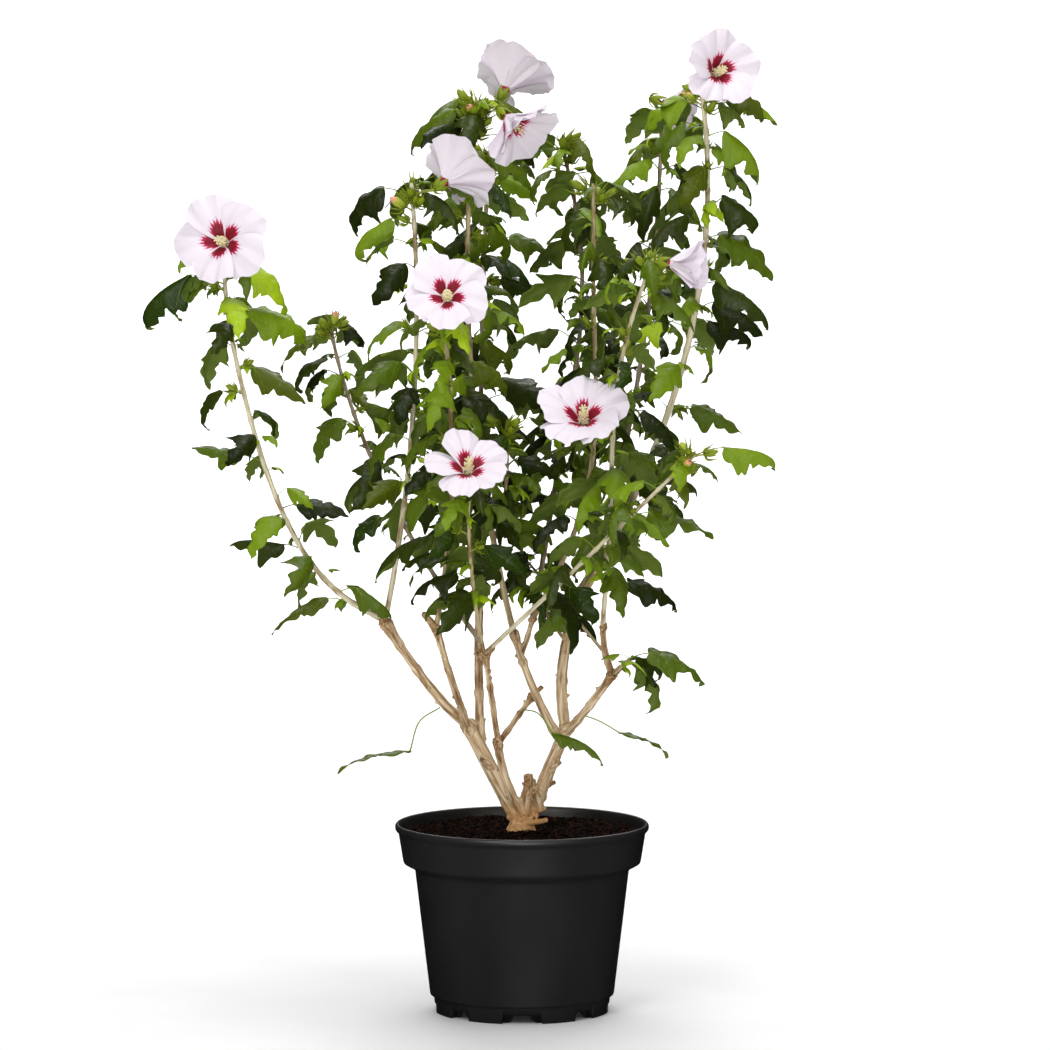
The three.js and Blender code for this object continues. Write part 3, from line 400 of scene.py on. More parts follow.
def grow_mass(name, order, stem, strange, found):
    """Grows one mass by the rule and adds its leaves, twigs, buds and flowers to found."""
    foot, tip, bow, sway, _, bare, turn, blade, twig_count, buds = CANES[name]
    line = line_of(foot, tip, bow, sway)
    length = (Vector(foot) - Vector(tip)).length
    twigs, spread = [], []

    def add_if_clear(solid):
        if solid.low[2] <= FLOOR:
            return False
        if not clear_of(solid, spread, GAP) or not clear_of(solid, strange, LEAF_CLEAR):
            return False
        spread.append(solid)
        return True

    def leaf_at(root, seed, bearing, size, kind):
        for attempt in range(TRIES):
            roll = dice(seed * 8 + attempt)
            leaf = {
                "root": root,
                "bearing": bearing + (roll() - 0.5) * (26 + 34 * attempt),
                "rise": 8 + 34 * roll(),
                "droop": -46 - 48 * roll(),
                "roll": (roll() - 0.5) * 120,
                "stalk": 14 + 20 * roll(),
                "blade": size * (0.78 + 0.34 * roll()),
                "seed": seed,
                "mass": name,
                "kind": kind,
            }
            if add_if_clear(leaf_solid(leaf)):
                found["leaves"].append(leaf)
                return

    def twig_at(root, heading, seed, bearing):
        roll = dice(seed * 8)
        lean = level(bearing + (roll() - 0.5) * 50)
        reach = 26 + 40 * roll()
        end = root + (heading * 0.9 + lean * 0.8).normalized() * reach
        solid = limb_solid(root, end, NONE, NONE, TWIG_RADIUS, TWIG_SIDES, reach)
        if not clear_of(solid, spread + strange, LEAF_CLEAR):
            return
        twigs.append(solid)
        found["twigs"].append((name, root, end, seed))
        leaf_at(root.lerp(end, 0.6), seed + 1, bearing - 50, blade * 0.8, "twig")
        leaf_at(root.lerp(end, 0.96), seed + 2, bearing + 35, blade * 0.75, "twig")

    for bloom in BLOOMS:
        if bloom[0] != name:
            continue
        behind = Vector(bloom[1]) - Vector(bloom[2]) * STALK_REACH
        t = share_of_least(line, lambda point: (point - behind).length)
        solid = bloom_solid(bloom)
        if clear_of(solid, strange, LEAF_CLEAR):
            spread.append(solid)
            found["blooms"].append((bloom, line(t)))
    for number, (height, bearing, stalk, size, droop) in enumerate(OUTLINE_LEAVES.get(name, ())):
        t = share_of_least(line, lambda point: abs(point.z - height))
        leaf = {
            "root": line(t), "bearing": bearing, "rise": OUTLINE_RISE, "droop": droop,
            "roll": OUTLINE_ROLL if math.cos(rad(bearing)) > 0 else -OUTLINE_ROLL,
            "stalk": stalk, "blade": size, "seed": order * 1000 + 500 + number,
            "mass": name, "kind": "outline",
        }
        if add_if_clear(leaf_solid(leaf)):
            found["leaves"].append(leaf)
    count = max(1, math.floor(length * (1 - bare) / LEAF_SPACING))
    every = max(1, math.floor(count / (twig_count + 1))) if twig_count else count + 1
    for k in range(count + 1):
        t = min(LAST_SHARE, bare + (1 - bare) * k / count)
        seed = order * 1000 + k * 10
        bearing = turn + k * FIFTHS
        leaf_at(line(t), seed, bearing, blade * (1 - TOP_LEAVES_LESS * t**3), "node")
        found["nodes"].append((name, line(t), heading_of(line, t), t, bearing, seed))
        if k % every == every - 1 and k < count:
            twig_at(line(t), heading_of(line, t), seed + 1, bearing + 180)
    heading = heading_of(line, LAST_SHARE)
    for b in range(buds):
        roll = dice(order * 1000 + 900 + b)
        lean = level(turn + b * FIFTHS + 40)
        aim = (heading * (0.5 + 0.5 * roll()) + lean).normalized()
        root = line(LAST_SHARE) + heading * (-10 * b * roll())
        stalk, size = 8 + 8 * roll(), 17 + 5 * roll()
        if add_if_clear(bud_solid(root, aim, stalk, size)):
            found["buds"].append((name, root, aim, stalk, size, order * 1000 + 900 + b))
    return [stem, *twigs, *spread]


def grow_shrub():
    found = {"leaves": [], "twigs": [], "buds": [], "blooms": [], "nodes": []}
    limbs = [
        limb_solid(foot, tip, bow, NONE, radius, LIMB_SIDES, LIMB_STEP, knot)
        for foot, tip, bow, radius, knot in LIMBS.values()
    ]
    limbs += [
        limb_solid(foot, tip, bow, NONE, radius, LIMB_SIDES, LIMB_STEP, knot)
        for foot, tip, bow, radius, knot in (STUMP, STUB)
    ]
    limbs.append(limb_solid(TRUNK_FOOT, TRUNK_TOP, NONE, NONE, (14, 10), LIMB_SIDES, LIMB_STEP))
    masses = {
        name: [limb_solid(c[0], c[1], c[2], c[3], c[4], CANE_SIDES, CANE_STEP)]
        for name, c in CANES.items()
    }
    for order, name in enumerate(CANES, 1):
        strange = limbs + [s for other, p in masses.items() if other != name for s in p]
        masses[name] = grow_mass(name, order, masses[name][0], strange, found)
    return found


# ---- mesh pieces


class Piece:
    """Points, triangles and their material numbers, gathered from many small shapes."""

    def __init__(self):
        self.points, self.grain, self.faces, self.tints, self.count = [], [], [], [], 0

    def add(self, points, faces, tint=0, grain=None):
        points, faces = np.asarray(points, float), np.asarray(faces, int)
        self.points.append(points)
        self.grain.append(points if grain is None else grain)
        self.faces.append(faces + self.count)
        tints = np.asarray(tint, int)
        self.tints.append(tints if tints.ndim else np.full(len(faces), tint))
        self.count += len(points)

    def make(self, name, materials, slot, stands_for=(), grained=False):
        points = np.concatenate(self.points) * MM
        faces = np.concatenate(self.faces)
        mesh = bpy.data.meshes.new(name)
        mesh.vertices.add(len(points))
        mesh.vertices.foreach_set("co", points.ravel())
        mesh.loops.add(faces.size)
        mesh.loops.foreach_set("vertex_index", faces.ravel())
        mesh.polygons.add(len(faces))
        mesh.polygons.foreach_set("loop_start", np.arange(0, faces.size, 3))
        for material in materials:
            mesh.materials.append(material)
        mesh.polygons.foreach_set("material_index", np.concatenate(self.tints))
        mesh.polygons.foreach_set("use_smooth", np.ones(len(faces), bool))
        mesh.update(calc_edges=True)
        mesh.validate()
        if grained:
            set_grain(mesh, np.concatenate(self.grain))
        thing = bpy.data.objects.new(name, mesh)
        bpy.context.scene.collection.objects.link(thing)
        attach(thing, "root")
        if stands_for:
            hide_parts(*stands_for)
        return thing


def set_grain(mesh, grain):
    """Keeps for every point its place round and along its stem, which the bark follows."""
    layer = mesh.attributes.new("grain", "FLOAT_VECTOR", "POINT")
    layer.data.foreach_set("vector", (np.asarray(grain) * MM).ravel())


_grids = {}


def grid_faces(rows, columns, closed=False):
    """Triangles of a grid of rows by columns points, whose columns may close into a ring."""
    key = (rows, columns, closed)
    if key not in _grids:
        r, c = np.meshgrid(np.arange(rows - 1), np.arange(columns if closed else columns - 1),
                           indexing="ij")
        a = (r * columns + c).ravel()
        b = (r * columns + (c + 1) % columns).ravel()
        _grids[key] = np.concatenate([np.stack([a, b, b + columns], 1),
                                      np.stack([a, b + columns, a + columns], 1)])
    return _grids[key]


def frames_of(path):
    """At every point of a path: its heading, its side, its front and its place along the path."""
    heading = np.gradient(path, axis=0)
    heading /= np.linalg.norm(heading, axis=1)[:, None] + 1e-12
    side = np.cross(heading, (0.13, 0.95, 0.27))
    side /= np.linalg.norm(side, axis=1)[:, None] + 1e-12
    steps = np.linalg.norm(np.diff(path, axis=0), axis=1)
    along = np.concatenate([[0], np.cumsum(steps)]) + abs(path[0].sum()) * 7
    return heading, side, np.cross(heading, side), along


def tube(piece, path, radii, sides, tint=0, flat=1.0):
    """A tube along a path, closed by a point at each end."""
    path = np.asarray(path, float)
    radii = np.broadcast_to(np.asarray(radii, float), (len(path),))
    _, side, front, along = frames_of(path)
    angle = np.arange(sides) * TAU / sides
    ring = (side[:, None] * np.cos(angle)[None, :, None]
            + front[:, None] * flat * np.sin(angle)[None, :, None])
    points = path[:, None] + ring * radii[:, None, None]
    n = len(path)
    grain = np.stack([radii[:, None] * np.cos(angle), radii[:, None] * np.sin(angle),
                      np.broadcast_to(along[:, None], (n, sides))], -1)
    faces = grid_faces(n, sides, True)
    start = np.stack([np.full(sides, n * sides), (np.arange(sides) + 1) % sides,
                      np.arange(sides)], 1)
    last = (n - 1) * sides
    end = np.stack([np.full(sides, n * sides + 1), last + np.arange(sides),
                    last + (np.arange(sides) + 1) % sides], 1)
    points = np.concatenate([points.reshape(-1, 3), path[:1], path[-1:]])
    ends = [(0, 0, along[0]), (0, 0, along[-1])]
    grain = np.concatenate([grain.reshape(-1, 3), ends])
    piece.add(points, np.concatenate([faces, start, end]), tint, grain)


def curve(points, count):
    """count points on a smooth curve through a few points."""
    p = np.asarray([tuple(q) for q in points], float)
    p = np.concatenate([[2 * p[0] - p[1]], p, [2 * p[-1] - p[-2]]])
    out = []
    spans = len(p) - 3
    for t in np.linspace(0, spans, count):
        i = min(int(t), spans - 1)
        u = t - i
        a, b, c, d = p[i : i + 4]
        out.append(0.5 * ((2 * b) + (c - a) * u + (2 * a - 5 * b + 4 * c - d) * u * u
                          + (3 * b - a - 3 * c + d) * u**3))
    return np.array(out)


# ---- leaves

# Open places of the crown: across, height, reach, share of the full size of a leaf there.
SPARSE = (
    (-285, 600, 80, 0.6), (-185, 500, 70, 0.7), (130, 720, 75, 0.75), (245, 600, 80, 0.6),
    (130, 500, 60, 0.8), (-290, 710, 60, 0.85),
)

# Half a leaf's outline: place on the midrib that a row starts from, then along and across to the
# edge, all as shares of the blade's length. The fourth number says how far the lobes shift it.
HALF_LEAF = np.array([
    (0.000, 0.000, 0.010, 0.00),
    (0.008, -0.020, 0.045, 0.00),
    (0.025, -0.006, 0.098, 0.00),
    (0.055, 0.062, 0.155, 0.00),
    (0.100, 0.172, 0.198, 0.02),
    (0.150, 0.290, 0.226, 0.06),
    (0.215, 0.385, 0.222, 0.11),
    (0.290, 0.410, 0.184, 0.03),
    (0.370, 0.455, 0.160, -0.05),
    (0.470, 0.555, 0.156, -0.03),
    (0.600, 0.680, 0.128, 0.00),
    (0.760, 0.822, 0.078, 0.00),
    (0.900, 0.930, 0.030, 0.00),
    (1.000, 1.000, 0.002, 0.00),
])
TOOTH_FROM = 0.2
TOOTH = 0.056
TEETH = 6.5
# Rows along a leaf and columns from its midrib to its edge.
LEAF_GRID, SMALL_LEAF_GRID = (30, 4), (13, 3)
LEAF_SKIN, SMALL_LEAF_SKIN = 0.3, 0.2
# The material number of the underside.
UNDER = 7
# Rows of the outline at which a rib ends.
RIB_ROWS = (4, 6, 9)


def leaf_outline(rows, lobes, toothed, phase):
    """Rows of (midrib, along, across) for half a leaf."""
    knots = np.linspace(0, 1, len(HALF_LEAF))
    t = np.linspace(0, 1, rows)
    mid, along, across, lobe = (np.interp(t, knots, HALF_LEAF[:, i]) for i in range(4))
    across = across + lobes * lobe
    along = along + lobes * lobe * 0.4
    tooth = np.abs(np.sin(math.pi * (t * TEETH * toothed + phase / 3))) - 0.5
    strength = TOOTH * np.clip((t - TOOTH_FROM) * 6, 0, 1) * np.clip((1 - t) * 7, 0, 1)
    strength = strength * (toothed > 0)
    return mid, along + tooth * strength * 0.4, across + tooth * strength


def leaf_grid(rows, columns, lobes, toothed, phases):
    """A flat leaf of unit length: along, across and share from midrib to edge, row by row."""
    halves = [leaf_outline(rows, lobes, toothed, phase) for phase in phases]
    shares = np.linspace(0, 1, columns) ** 0.9
    grids = []
    for sign, (mid, along, across) in zip((-1, 1), halves):
        x = mid[:, None] + (along - mid)[:, None] * shares[None]
        y = sign * across[:, None] * shares[None]
        grids.append((x, y, np.broadcast_to(shares[None], x.shape)))
    left, right = grids
    return [np.concatenate([a[:, :0:-1], b], 1) for a, b in zip(left, right)]


def leaf_surface(leaf, roll):
    """Takes flat leaf coordinates to space: the blade curls, folds, sags and ripples."""
    first, hang, side, _, curl = leaf_frame(leaf)
    blade = leaf["blade"]
    origin = np.array(leaf["root"] + first * leaf["stalk"])
    hang, side = np.array(hang), np.array(side)
    up0 = np.cross(hang, side)
    fold = rad(-44 + 50 * roll())
    sag = 0.3 + 0.7 * roll()
    wave, waves, phase = 0.01 + 0.03 * roll(), 1.8 + 2 * roll(), TAU * roll()
    twist = (roll() - 0.5) * 1.3
    tip_curl = -0.1 + 1.9 * roll() ** 1.2
    table = np.linspace(0, 1, 41)
    bend = curl * table + tip_curl * table**4
    steps = (np.cos(bend)[:, None] * hang - np.sin(bend)[:, None] * up0) / 40
    spine = np.concatenate([[np.zeros(3)], np.cumsum((steps[1:] + steps[:-1]) / 2, 0)])

    def at(x, y, edge, lift=0.0):
        xc = np.clip(x, -0.1, 1)
        angle = curl * xc + tip_curl * np.clip(xc, 0, 1) ** 4
        middle = np.stack([np.interp(np.clip(x, 0, 1), table, spine[:, i]) for i in range(3)], -1)
        middle = middle + np.minimum(x, 0)[..., None] * hang
        up = np.cos(angle)[..., None] * up0 + np.sin(angle)[..., None] * hang
        turn = twist * xc
        across = np.cos(turn)[..., None] * side + np.sin(turn)[..., None] * up
        over = np.cos(turn)[..., None] * up - np.sin(turn)[..., None] * side
        rise = np.abs(y) * math.tan(fold) - sag * y * y * 2.4
        rise = rise + wave * edge**2 * np.sin(waves * TAU * x + phase + np.sign(y) * 1.3)
        rise = rise + 0.022 * np.sin(30 * (x - 0.75 * np.abs(y))) * edge * (1 - 0.7 * edge)
        out = middle + across * (y * math.cos(fold))[..., None] + over * rise[..., None]
        return origin + (out + over * (lift / blade)) * blade

    return at


def vigour(x, z):
    """How large the leaves grow at a place of the crown, as a share of their full size."""
    share = 1
    for across, height, reach, size in SPARSE:
        near = math.exp(-(((x - across) / reach) ** 2 + ((z - height) / reach) ** 2))
        share *= 1 - (1 - size) * near
    return share


def add_leaf(tops, ribs, leaf, tint, fine=True):
    """One leaf with an upper and a lower skin, on a fine leaf ribs that stand proud of the upper skin,
    and its stalk.
    """
    roll = dice(leaf["seed"] * 16 + 5)
    if leaf["kind"] != "low":
        leaf["blade"] *= vigour(leaf["root"][0], leaf["root"][2])
    lobes = 1.1 * roll() ** 1.5
    rows, columns = LEAF_GRID if fine else SMALL_LEAF_GRID
    grid = leaf_grid(rows, columns, lobes, 1.0 if fine else 0.5,
                     (int(3 * roll()), int(3 * roll())))
    if leaf["kind"] == "low":
        grid[1] = grid[1] * LOW_LEAF_SLIM
    at = leaf_surface(leaf, roll)
    skin = LEAF_SKIN if fine else SMALL_LEAF_SKIN
    flat = [g.ravel() for g in grid]
    top, low = at(*flat, lift=skin / 2), at(*flat, lift=-skin / 2)
    wide = 2 * columns - 1
    faces = grid_faces(rows, wide)
    n = rows * wide
    rim_a = np.concatenate([np.arange(rows) * wide, np.arange(rows)[::-1] * wide + wide - 1])
    rim = np.concatenate([np.stack([rim_a[:-1], rim_a[1:], rim_a[1:] + n], 1),
                          np.stack([rim_a[:-1], rim_a[1:] + n, rim_a[:-1] + n], 1)])
    below = faces[:, ::-1] + n
    tops.add(np.concatenate([top, low]), np.concatenate([faces, below, rim]),
             np.concatenate([np.full(len(faces), tint), np.full(len(faces) + len(rim), UNDER)]))
    if not fine:
        stalk_of(ribs, leaf, tint)
        return
    mid, along, across = leaf_outline(len(HALF_LEAF), lobes, 0, 0)
    veins = [(0.0, 0.0, 0.94, 0.0, 0.95)]
    for row in RIB_ROWS:
        for sign in (-1, 1):
            veins.append((mid[row] if row > 6 else 0.01, 0.0, along[row] * 0.93,
                          sign * across[row] * 0.93, 0.5 if row != 6 else 0.7))
    for x0, y0, x1, y1, width in veins:
        s = np.linspace(0, 1, 6)
        x = x0 + (x1 - x0) * s
        y = y0 + (y1 - y0) * s**1.15
        direction = np.array((x1 - x0, y1 - y0))
        normal = np.array((-direction[1], direction[0])) / (np.linalg.norm(direction) + 1e-9)
        half = width * (1 - 0.75 * s) / leaf["blade"] * 0.42
        edge = np.abs(y) / 0.3
        rib = []
        for k, lift in ((-1, 0.14), (0, 0.46), (1, 0.14)):
            rib.append(at(x + k * half * normal[0], y + k * half * normal[1], edge, lift=lift))
        ribs.add(np.stack(rib, 1).reshape(-1, 3), grid_faces(6, 3), 0 if tint < 2 else 1)
    stalk_of(ribs, leaf, tint)


def stalk_of(ribs, leaf, tint):
    first, hang, _, _, _ = leaf_frame(leaf)
    root = leaf["root"]
    end = root + first * leaf["stalk"]
    middle = root + first * (leaf["stalk"] * 0.55) + UP * (leaf["stalk"] * 0.06)
    path = curve((root - first * SUNK, middle, end, end + hang * (leaf["blade"] * 0.06)), 9)
    thick = STALK_RADIUS * (1 if leaf["blade"] > 50 else 0.6)
    radii = thick * np.array((1.5, 1.0, 0.85, 0.8, 0.75, 0.75, 0.75, 0.6, 0.3))
    tube(ribs, path, radii, 4, 0 if tint < 2 else 1)


# ---- materials


def colour(r, g, b):
    """Linear colour of an sRGB one, given as 0 to 255."""
    return tuple(
        c / 12.92 if c <= 0.04045 else ((c + 0.055) / 1.055) ** 2.4
        for c in (r / 255, g / 255, b / 255)
    ) + (1.0,)


def new_material(name, tint, roughness):
    made = bpy.data.materials.new(name)
    made.use_nodes = True
    nodes = made.node_tree.nodes
    shader = nodes["Principled BSDF"]
    shader.inputs["Base Color"].default_value = tint
    shader.inputs["Roughness"].default_value = roughness
    return made, nodes, made.node_tree.links, shader


def noise_node(nodes, links, scale, detail, stretch=(1, 1, 1), place=(0, 0, 0), grained=False):
    where = nodes.new("ShaderNodeAttribute" if grained else "ShaderNodeTexCoord")
    if grained:
        where.attribute_name = "grain"
    mapping = nodes.new("ShaderNodeMapping")
    mapping.inputs["Scale"].default_value = stretch
    mapping.inputs["Location"].default_value = place
    grain = nodes.new("ShaderNodeTexNoise")
    grain.inputs["Scale"].default_value = scale
    grain.inputs["Detail"].default_value = detail
    links.new(where.outputs["Vector" if grained else "Object"], mapping.inputs["Vector"])
    links.new(mapping.outputs["Vector"], grain.inputs["Vector"])
    return grain


def ramp_node(nodes, links, source, stops):
    ramp = nodes.new("ShaderNodeValToRGB")
    elements = ramp.color_ramp.elements
    while len(elements) < len(stops):
        elements.new(0.5)
    for element, (place, tint) in zip(elements, stops):
        element.position = place
        element.color = tint
    links.new(source, ramp.inputs["Fac"])
    return ramp


def grey(value):
    return (value, value, value, 1)


def bump_from(nodes, links, shader, source, strength, distance, below=None):
    bump = nodes.new("ShaderNodeBump")
    bump.inputs["Strength"].default_value = strength
    bump.inputs["Distance"].default_value = distance
    links.new(source, bump.inputs["Height"])
    if below is not None:
        links.new(below.outputs["Normal"], bump.inputs["Normal"])
    links.new(bump.outputs["Normal"], shader.inputs["Normal"])
    return bump


def leaf_material(name, tint, roughness, relief=0.8, scale=220):
    """A plain colour with uneven gloss and a fine puckered surface."""
    made, nodes, links, shader = new_material(name, tint, roughness)
    grain = noise_node(nodes, links, scale, 3)
    uneven = ramp_node(nodes, links, grain.outputs["Fac"],
                       [(0.3, grey(roughness - 0.1)), (0.7, grey(roughness + 0.12))])
    links.new(uneven.outputs["Color"], shader.inputs["Roughness"])
    bump_from(nodes, links, shader, grain.outputs["Fac"], relief, 0.0016)
    shader.inputs["Specular IOR Level"].default_value = 0.36
    return made


def leaf_materials(*rows):
    """Materials from rows of a name, an sRGB colour, a roughness and, if given, relief and scale."""
    return [leaf_material(name, colour(*tint), *rest) for name, tint, *rest in rows]


# Greens from deep to bright. Besides chance, the lighter ones go to leaves at the front, top and outer
# sides of the crown and the darker ones to leaves deep inside it, as painted light and shade.
LEAF_TINTS = leaf_materials(
    ("leaf_deep", (33, 44, 2), 0.36),
    ("leaf_dark", (50, 64, 3), 0.36),
    ("leaf_mid", (82, 103, 4), 0.38),
    ("leaf_fresh", (118, 146, 5), 0.44),
    ("leaf_bright", (158, 188, 8), 0.46),
    ("leaf_cool", (42, 62, 5), 0.35),
    ("leaf_olive", (82, 95, 3), 0.38),
    ("leaf_under", (98, 118, 34), 0.6, 0.5, 300),
)
# Ribs and stalks of leaves in the deep and dark tints take the dark rib colour and all others the pale
# one, so they carry the leaves' painted light and shade along with their chance tints.
RIB_TINTS = leaf_materials(
    ("rib_dark", (66, 84, 14), 0.5),
    ("rib_pale", (124, 148, 34), 0.5),
)


def mixed(nodes, links, kind, factor, first, second):
    mix = nodes.new("ShaderNodeMix")
    mix.data_type = "RGBA"
    mix.blend_type = kind
    if isinstance(factor, float):
        mix.inputs["Factor"].default_value = factor
    else:
        links.new(factor, mix.inputs["Factor"])
    links.new(first, mix.inputs["A"])
    if isinstance(second, tuple):
        mix.inputs["B"].default_value = second
    else:
        links.new(second, mix.inputs["B"])
    return mix.outputs["Result"]


TAN = colour(206, 152, 92)


def bark_material(name, light, mid, dark, scale, worn=None):
    """Bark streaked along its stem, with brown patches, and rough dark bark where it is worn."""
    made, nodes, links, shader = new_material(name, mid, 0.8)
    streaks = noise_node(nodes, links, scale, 4, (1, 1, 0.07), grained=True)
    patches = noise_node(nodes, links, scale * 0.3, 4, (1, 1, 0.3), (3, 1, 7), grained=True)
    tone = ramp_node(nodes, links, streaks.outputs["Fac"],
                     [(0.28, dark), (0.47, mid), (0.66, light)])
    shade = ramp_node(nodes, links, patches.outputs["Fac"],
                      [(0.34, (0.52, 0.4, 0.3, 1)), (0.47, grey(1.0)), (0.75, grey(1.06))])
    tint = mixed(nodes, links, "MULTIPLY", 1.0, tone.outputs["Color"], shade.outputs["Color"])
    if worn:
        streaks_again = ramp_node(nodes, links, streaks.outputs["Fac"],
                                  [(0.3, grey(0.7)), (0.65, grey(1.05))])
        wear = nodes.new("ShaderNodeAttribute")
        wear.attribute_name = "wear"
        crust = noise_node(nodes, links, scale * 0.9, 5)
        spots = ramp_node(nodes, links, crust.outputs["Fac"], [(0.4, grey(0.15)), (0.6, grey(1.0))])
        much = nodes.new("ShaderNodeMath")
        much.operation = "MULTIPLY"
        links.new(wear.outputs["Fac"], much.inputs[0])
        links.new(spots.outputs["Color"], much.inputs[1])
        tan = nodes.new("ShaderNodeAttribute")
        tan.attribute_name = "tan"
        tint = mixed(nodes, links, "MIX", tan.outputs["Fac"], tint, TAN)
        tint = mixed(nodes, links, "MULTIPLY", tan.outputs["Fac"], tint, streaks_again.outputs["Color"])
        tint = mixed(nodes, links, "MIX", much.outputs["Value"], tint, worn)
    links.new(tint, shader.inputs["Base Color"])
    rough = ramp_node(nodes, links, patches.outputs["Fac"],
                      [(0.3, grey(0.9)), (0.7, grey(0.66))])
    links.new(rough.outputs["Color"], shader.inputs["Roughness"])
    below = bump_from(nodes, links, shader, streaks.outputs["Fac"], 0.4, 0.0008)
    fine = noise_node(nodes, links, scale * 4, 3, (1, 1, 0.3), grained=True)
    bump_from(nodes, links, shader, fine.outputs["Fac"], 0.3, 0.0004, below)
    shader.inputs["Specular IOR Level"].default_value = 0.25
    return made


# ---- growing

found = grow_shrub()

SIDES = ("left", "middle", "right")
LEFT = ("cane_left_outer", "cane_left_tall", "cane_diagonal", "cane_inner_left", "cane_front_thin",
        "cane_small")
RIGHT = ("cane_inner_right", "cane_rear_far", "cane_right_tall", "cane_front_diagonal",
         "shoot_right_low", "shoot_back")


def side_of(mass):
    return "left" if mass in LEFT else "right" if mass in RIGHT else "middle"


def tint_with_painted_light(leaf):
    """Picks a leaf's tint partly by chance and partly by place: leaves at the front, at the top and at
    the outer sides of the crown get lighter greens and those deep inside it darker ones, as painted
    light and shade.
    """
    roll = dice(leaf["seed"] * 4 + 1)
    point = leaf["root"]
    out = smoothstep(-point.y, -120, 220) * 0.45 + smoothstep(point.z, 420, 1000) * 0.3
    out += smoothstep(abs(point.x + 40), 80, 320) * 0.35
    pick = out * 0.6 + roll() * 0.9
    if roll() < 0.08:
        return 6
    if pick < 0.42:
        return 0
    if pick < 0.74:
        return 5 if roll() < 0.25 else 1
    if pick < 0.96:
        return 2
    return 3 if pick < 1.18 or roll() < 0.4 else 4


leaf_pieces = {side: Piece() for side in SIDES}
ribs = Piece()
for leaf in found["leaves"]:
    add_leaf(leaf_pieces[side_of(leaf["mass"])], ribs, leaf, tint_with_painted_light(leaf))


def add_small_leaf(root, bearing, roll, blade, seed, mass):
    """A young leaf. Its blade is given as the least length and what chance may add to it."""
    leaf = {
        "root": root, "bearing": bearing, "rise": 20 + 40 * roll(), "droop": -20 - 50 * roll(),
        "roll": (roll() - 0.5) * 80, "stalk": 5 + 9 * roll(), "blade": blade[0] + blade[1] * roll(),
        "seed": seed, "mass": mass, "kind": "small",
    }
    add_leaf(leaf_pieces[side_of(mass)], ribs, leaf, 2 + int(2.99 * roll()), fine=False)


# Small young leaves in the axils, on every second or third node.
for name, point, heading, _, bearing, seed in found["nodes"]:
    roll = dice(seed * 32 + 9)
    tuft = 1 + int(3 * roll())
    if roll() < 0.25:
        continue
    for i in range(tuft):
        add_small_leaf(point + heading * (2 * roll()), bearing + (roll() - 0.5) * 170, roll,
                       (16, 26), seed * 3 + 40000 + i, name)

# How many nodes of a mass carry a second, smaller leaf.
SECOND_LEAVES = {
    "cane_top": 0.95, "cane_rear_tall": 1.0, "cane_inner_left": 0.95, "cane_small": 0.8,
    "cane_centre_right": 0.9, "cane_front_thin": 0.7, "cane_rear_right": 0.9, "shoot_back": 0.8,
    "cane_left_tall": 0.8, "cane_diagonal": 0.6, "cane_inner_right": 0.6, "shoot_inner": 0.8,
    "cane_rear_far": 0.4, "cane_right_tall": 0.35, "cane_front_diagonal": 0.4,
}
for name, point, _, t, bearing, seed in found["nodes"]:
    roll = dice(seed * 128 + 77)
    chance = SECOND_LEAVES.get(name, 0) + (0.5 if t > 0.84 else 0)
    if roll() > chance or (point.x < -120 and point.z < 600) or (point.x > 90 and point.z < 560):
        continue
    second = {
        "root": point, "bearing": bearing + 80 + 200 * roll(), "rise": 10 + 34 * roll(),
        "droop": -34 - 50 * roll(), "roll": (roll() - 0.5) * 84, "stalk": 12 + 20 * roll(),
        "blade": 46 + 30 * roll(), "seed": seed * 7 + 60000, "mass": name, "kind": "second",
    }
    add_leaf(leaf_pieces[side_of(name)], ribs, second, tint_with_painted_light(second))

for name, (root, arch, foot, tip) in LOW_LEAVES.items():
    along = Vector(tip) - Vector(foot)
    pitch = math.degrees(math.asin(along.z / along.length))
    leaf = {
        "root": Vector(foot), "bearing": math.degrees(math.atan2(along.y, along.x)),
        "rise": pitch + LOW_LEAF_RISE, "droop": pitch - LOW_LEAF_DROOP, "roll": 0, "stalk": 1,
        "blade": along.length * 1.03, "seed": 7000 + len(name) * 7, "mass": name, "kind": "low",
    }
    add_leaf(leaf_pieces["middle"], ribs, leaf, 2)
    tube(ribs, curve((root, arch, foot), 16), 0.8, 6, 1)

# ---- canes and twigs

canes = Piece()
CANE_RING, CANE_ROUND = 3.5, 9
TWIG_RINGS, TWIG_ROUND = 14, 7
# Outer front canes take the pale bark and rear canes the darker grey bark, as painted light and shade;
# the rest take the tan bark.
CANE_TINT_PAINTED_SHADE = {"cane_left_outer": 0, "cane_left_tall": 0, "cane_right_tall": 0,
             "cane_front_diagonal": 0, "cane_inner_right": 0, "cane_diagonal": 1,
             "cane_rear_tall": 1, "cane_rear_right": 1, "cane_rear_far": 1}
for name, (foot, tip, bow, sway, radius, *_rest) in CANES.items():
    line = line_of(foot, tip, bow, sway)
    length = (Vector(foot) - Vector(tip)).length
    count = int(length / CANE_RING)
    shares = np.linspace(-2.5 / length, 1, count)
    path = np.array([tuple(line(t)) for t in shares])
    radii = radius[0] + (radius[1] - radius[0]) * shares
    for t in [node[3] for node in found["nodes"] if node[0] == name]:
        radii = radii + 0.55 * np.exp(-(((shares - t) * length / 3.2) ** 2))
    radii = radii + 0.1 * np.sin(np.arange(count) * 1.7) + 0.08 * np.sin(np.arange(count) * 0.63)
    radii[-1] *= 0.5
    tube(canes, path, radii, CANE_ROUND, CANE_TINT_PAINTED_SHADE.get(name, 2))
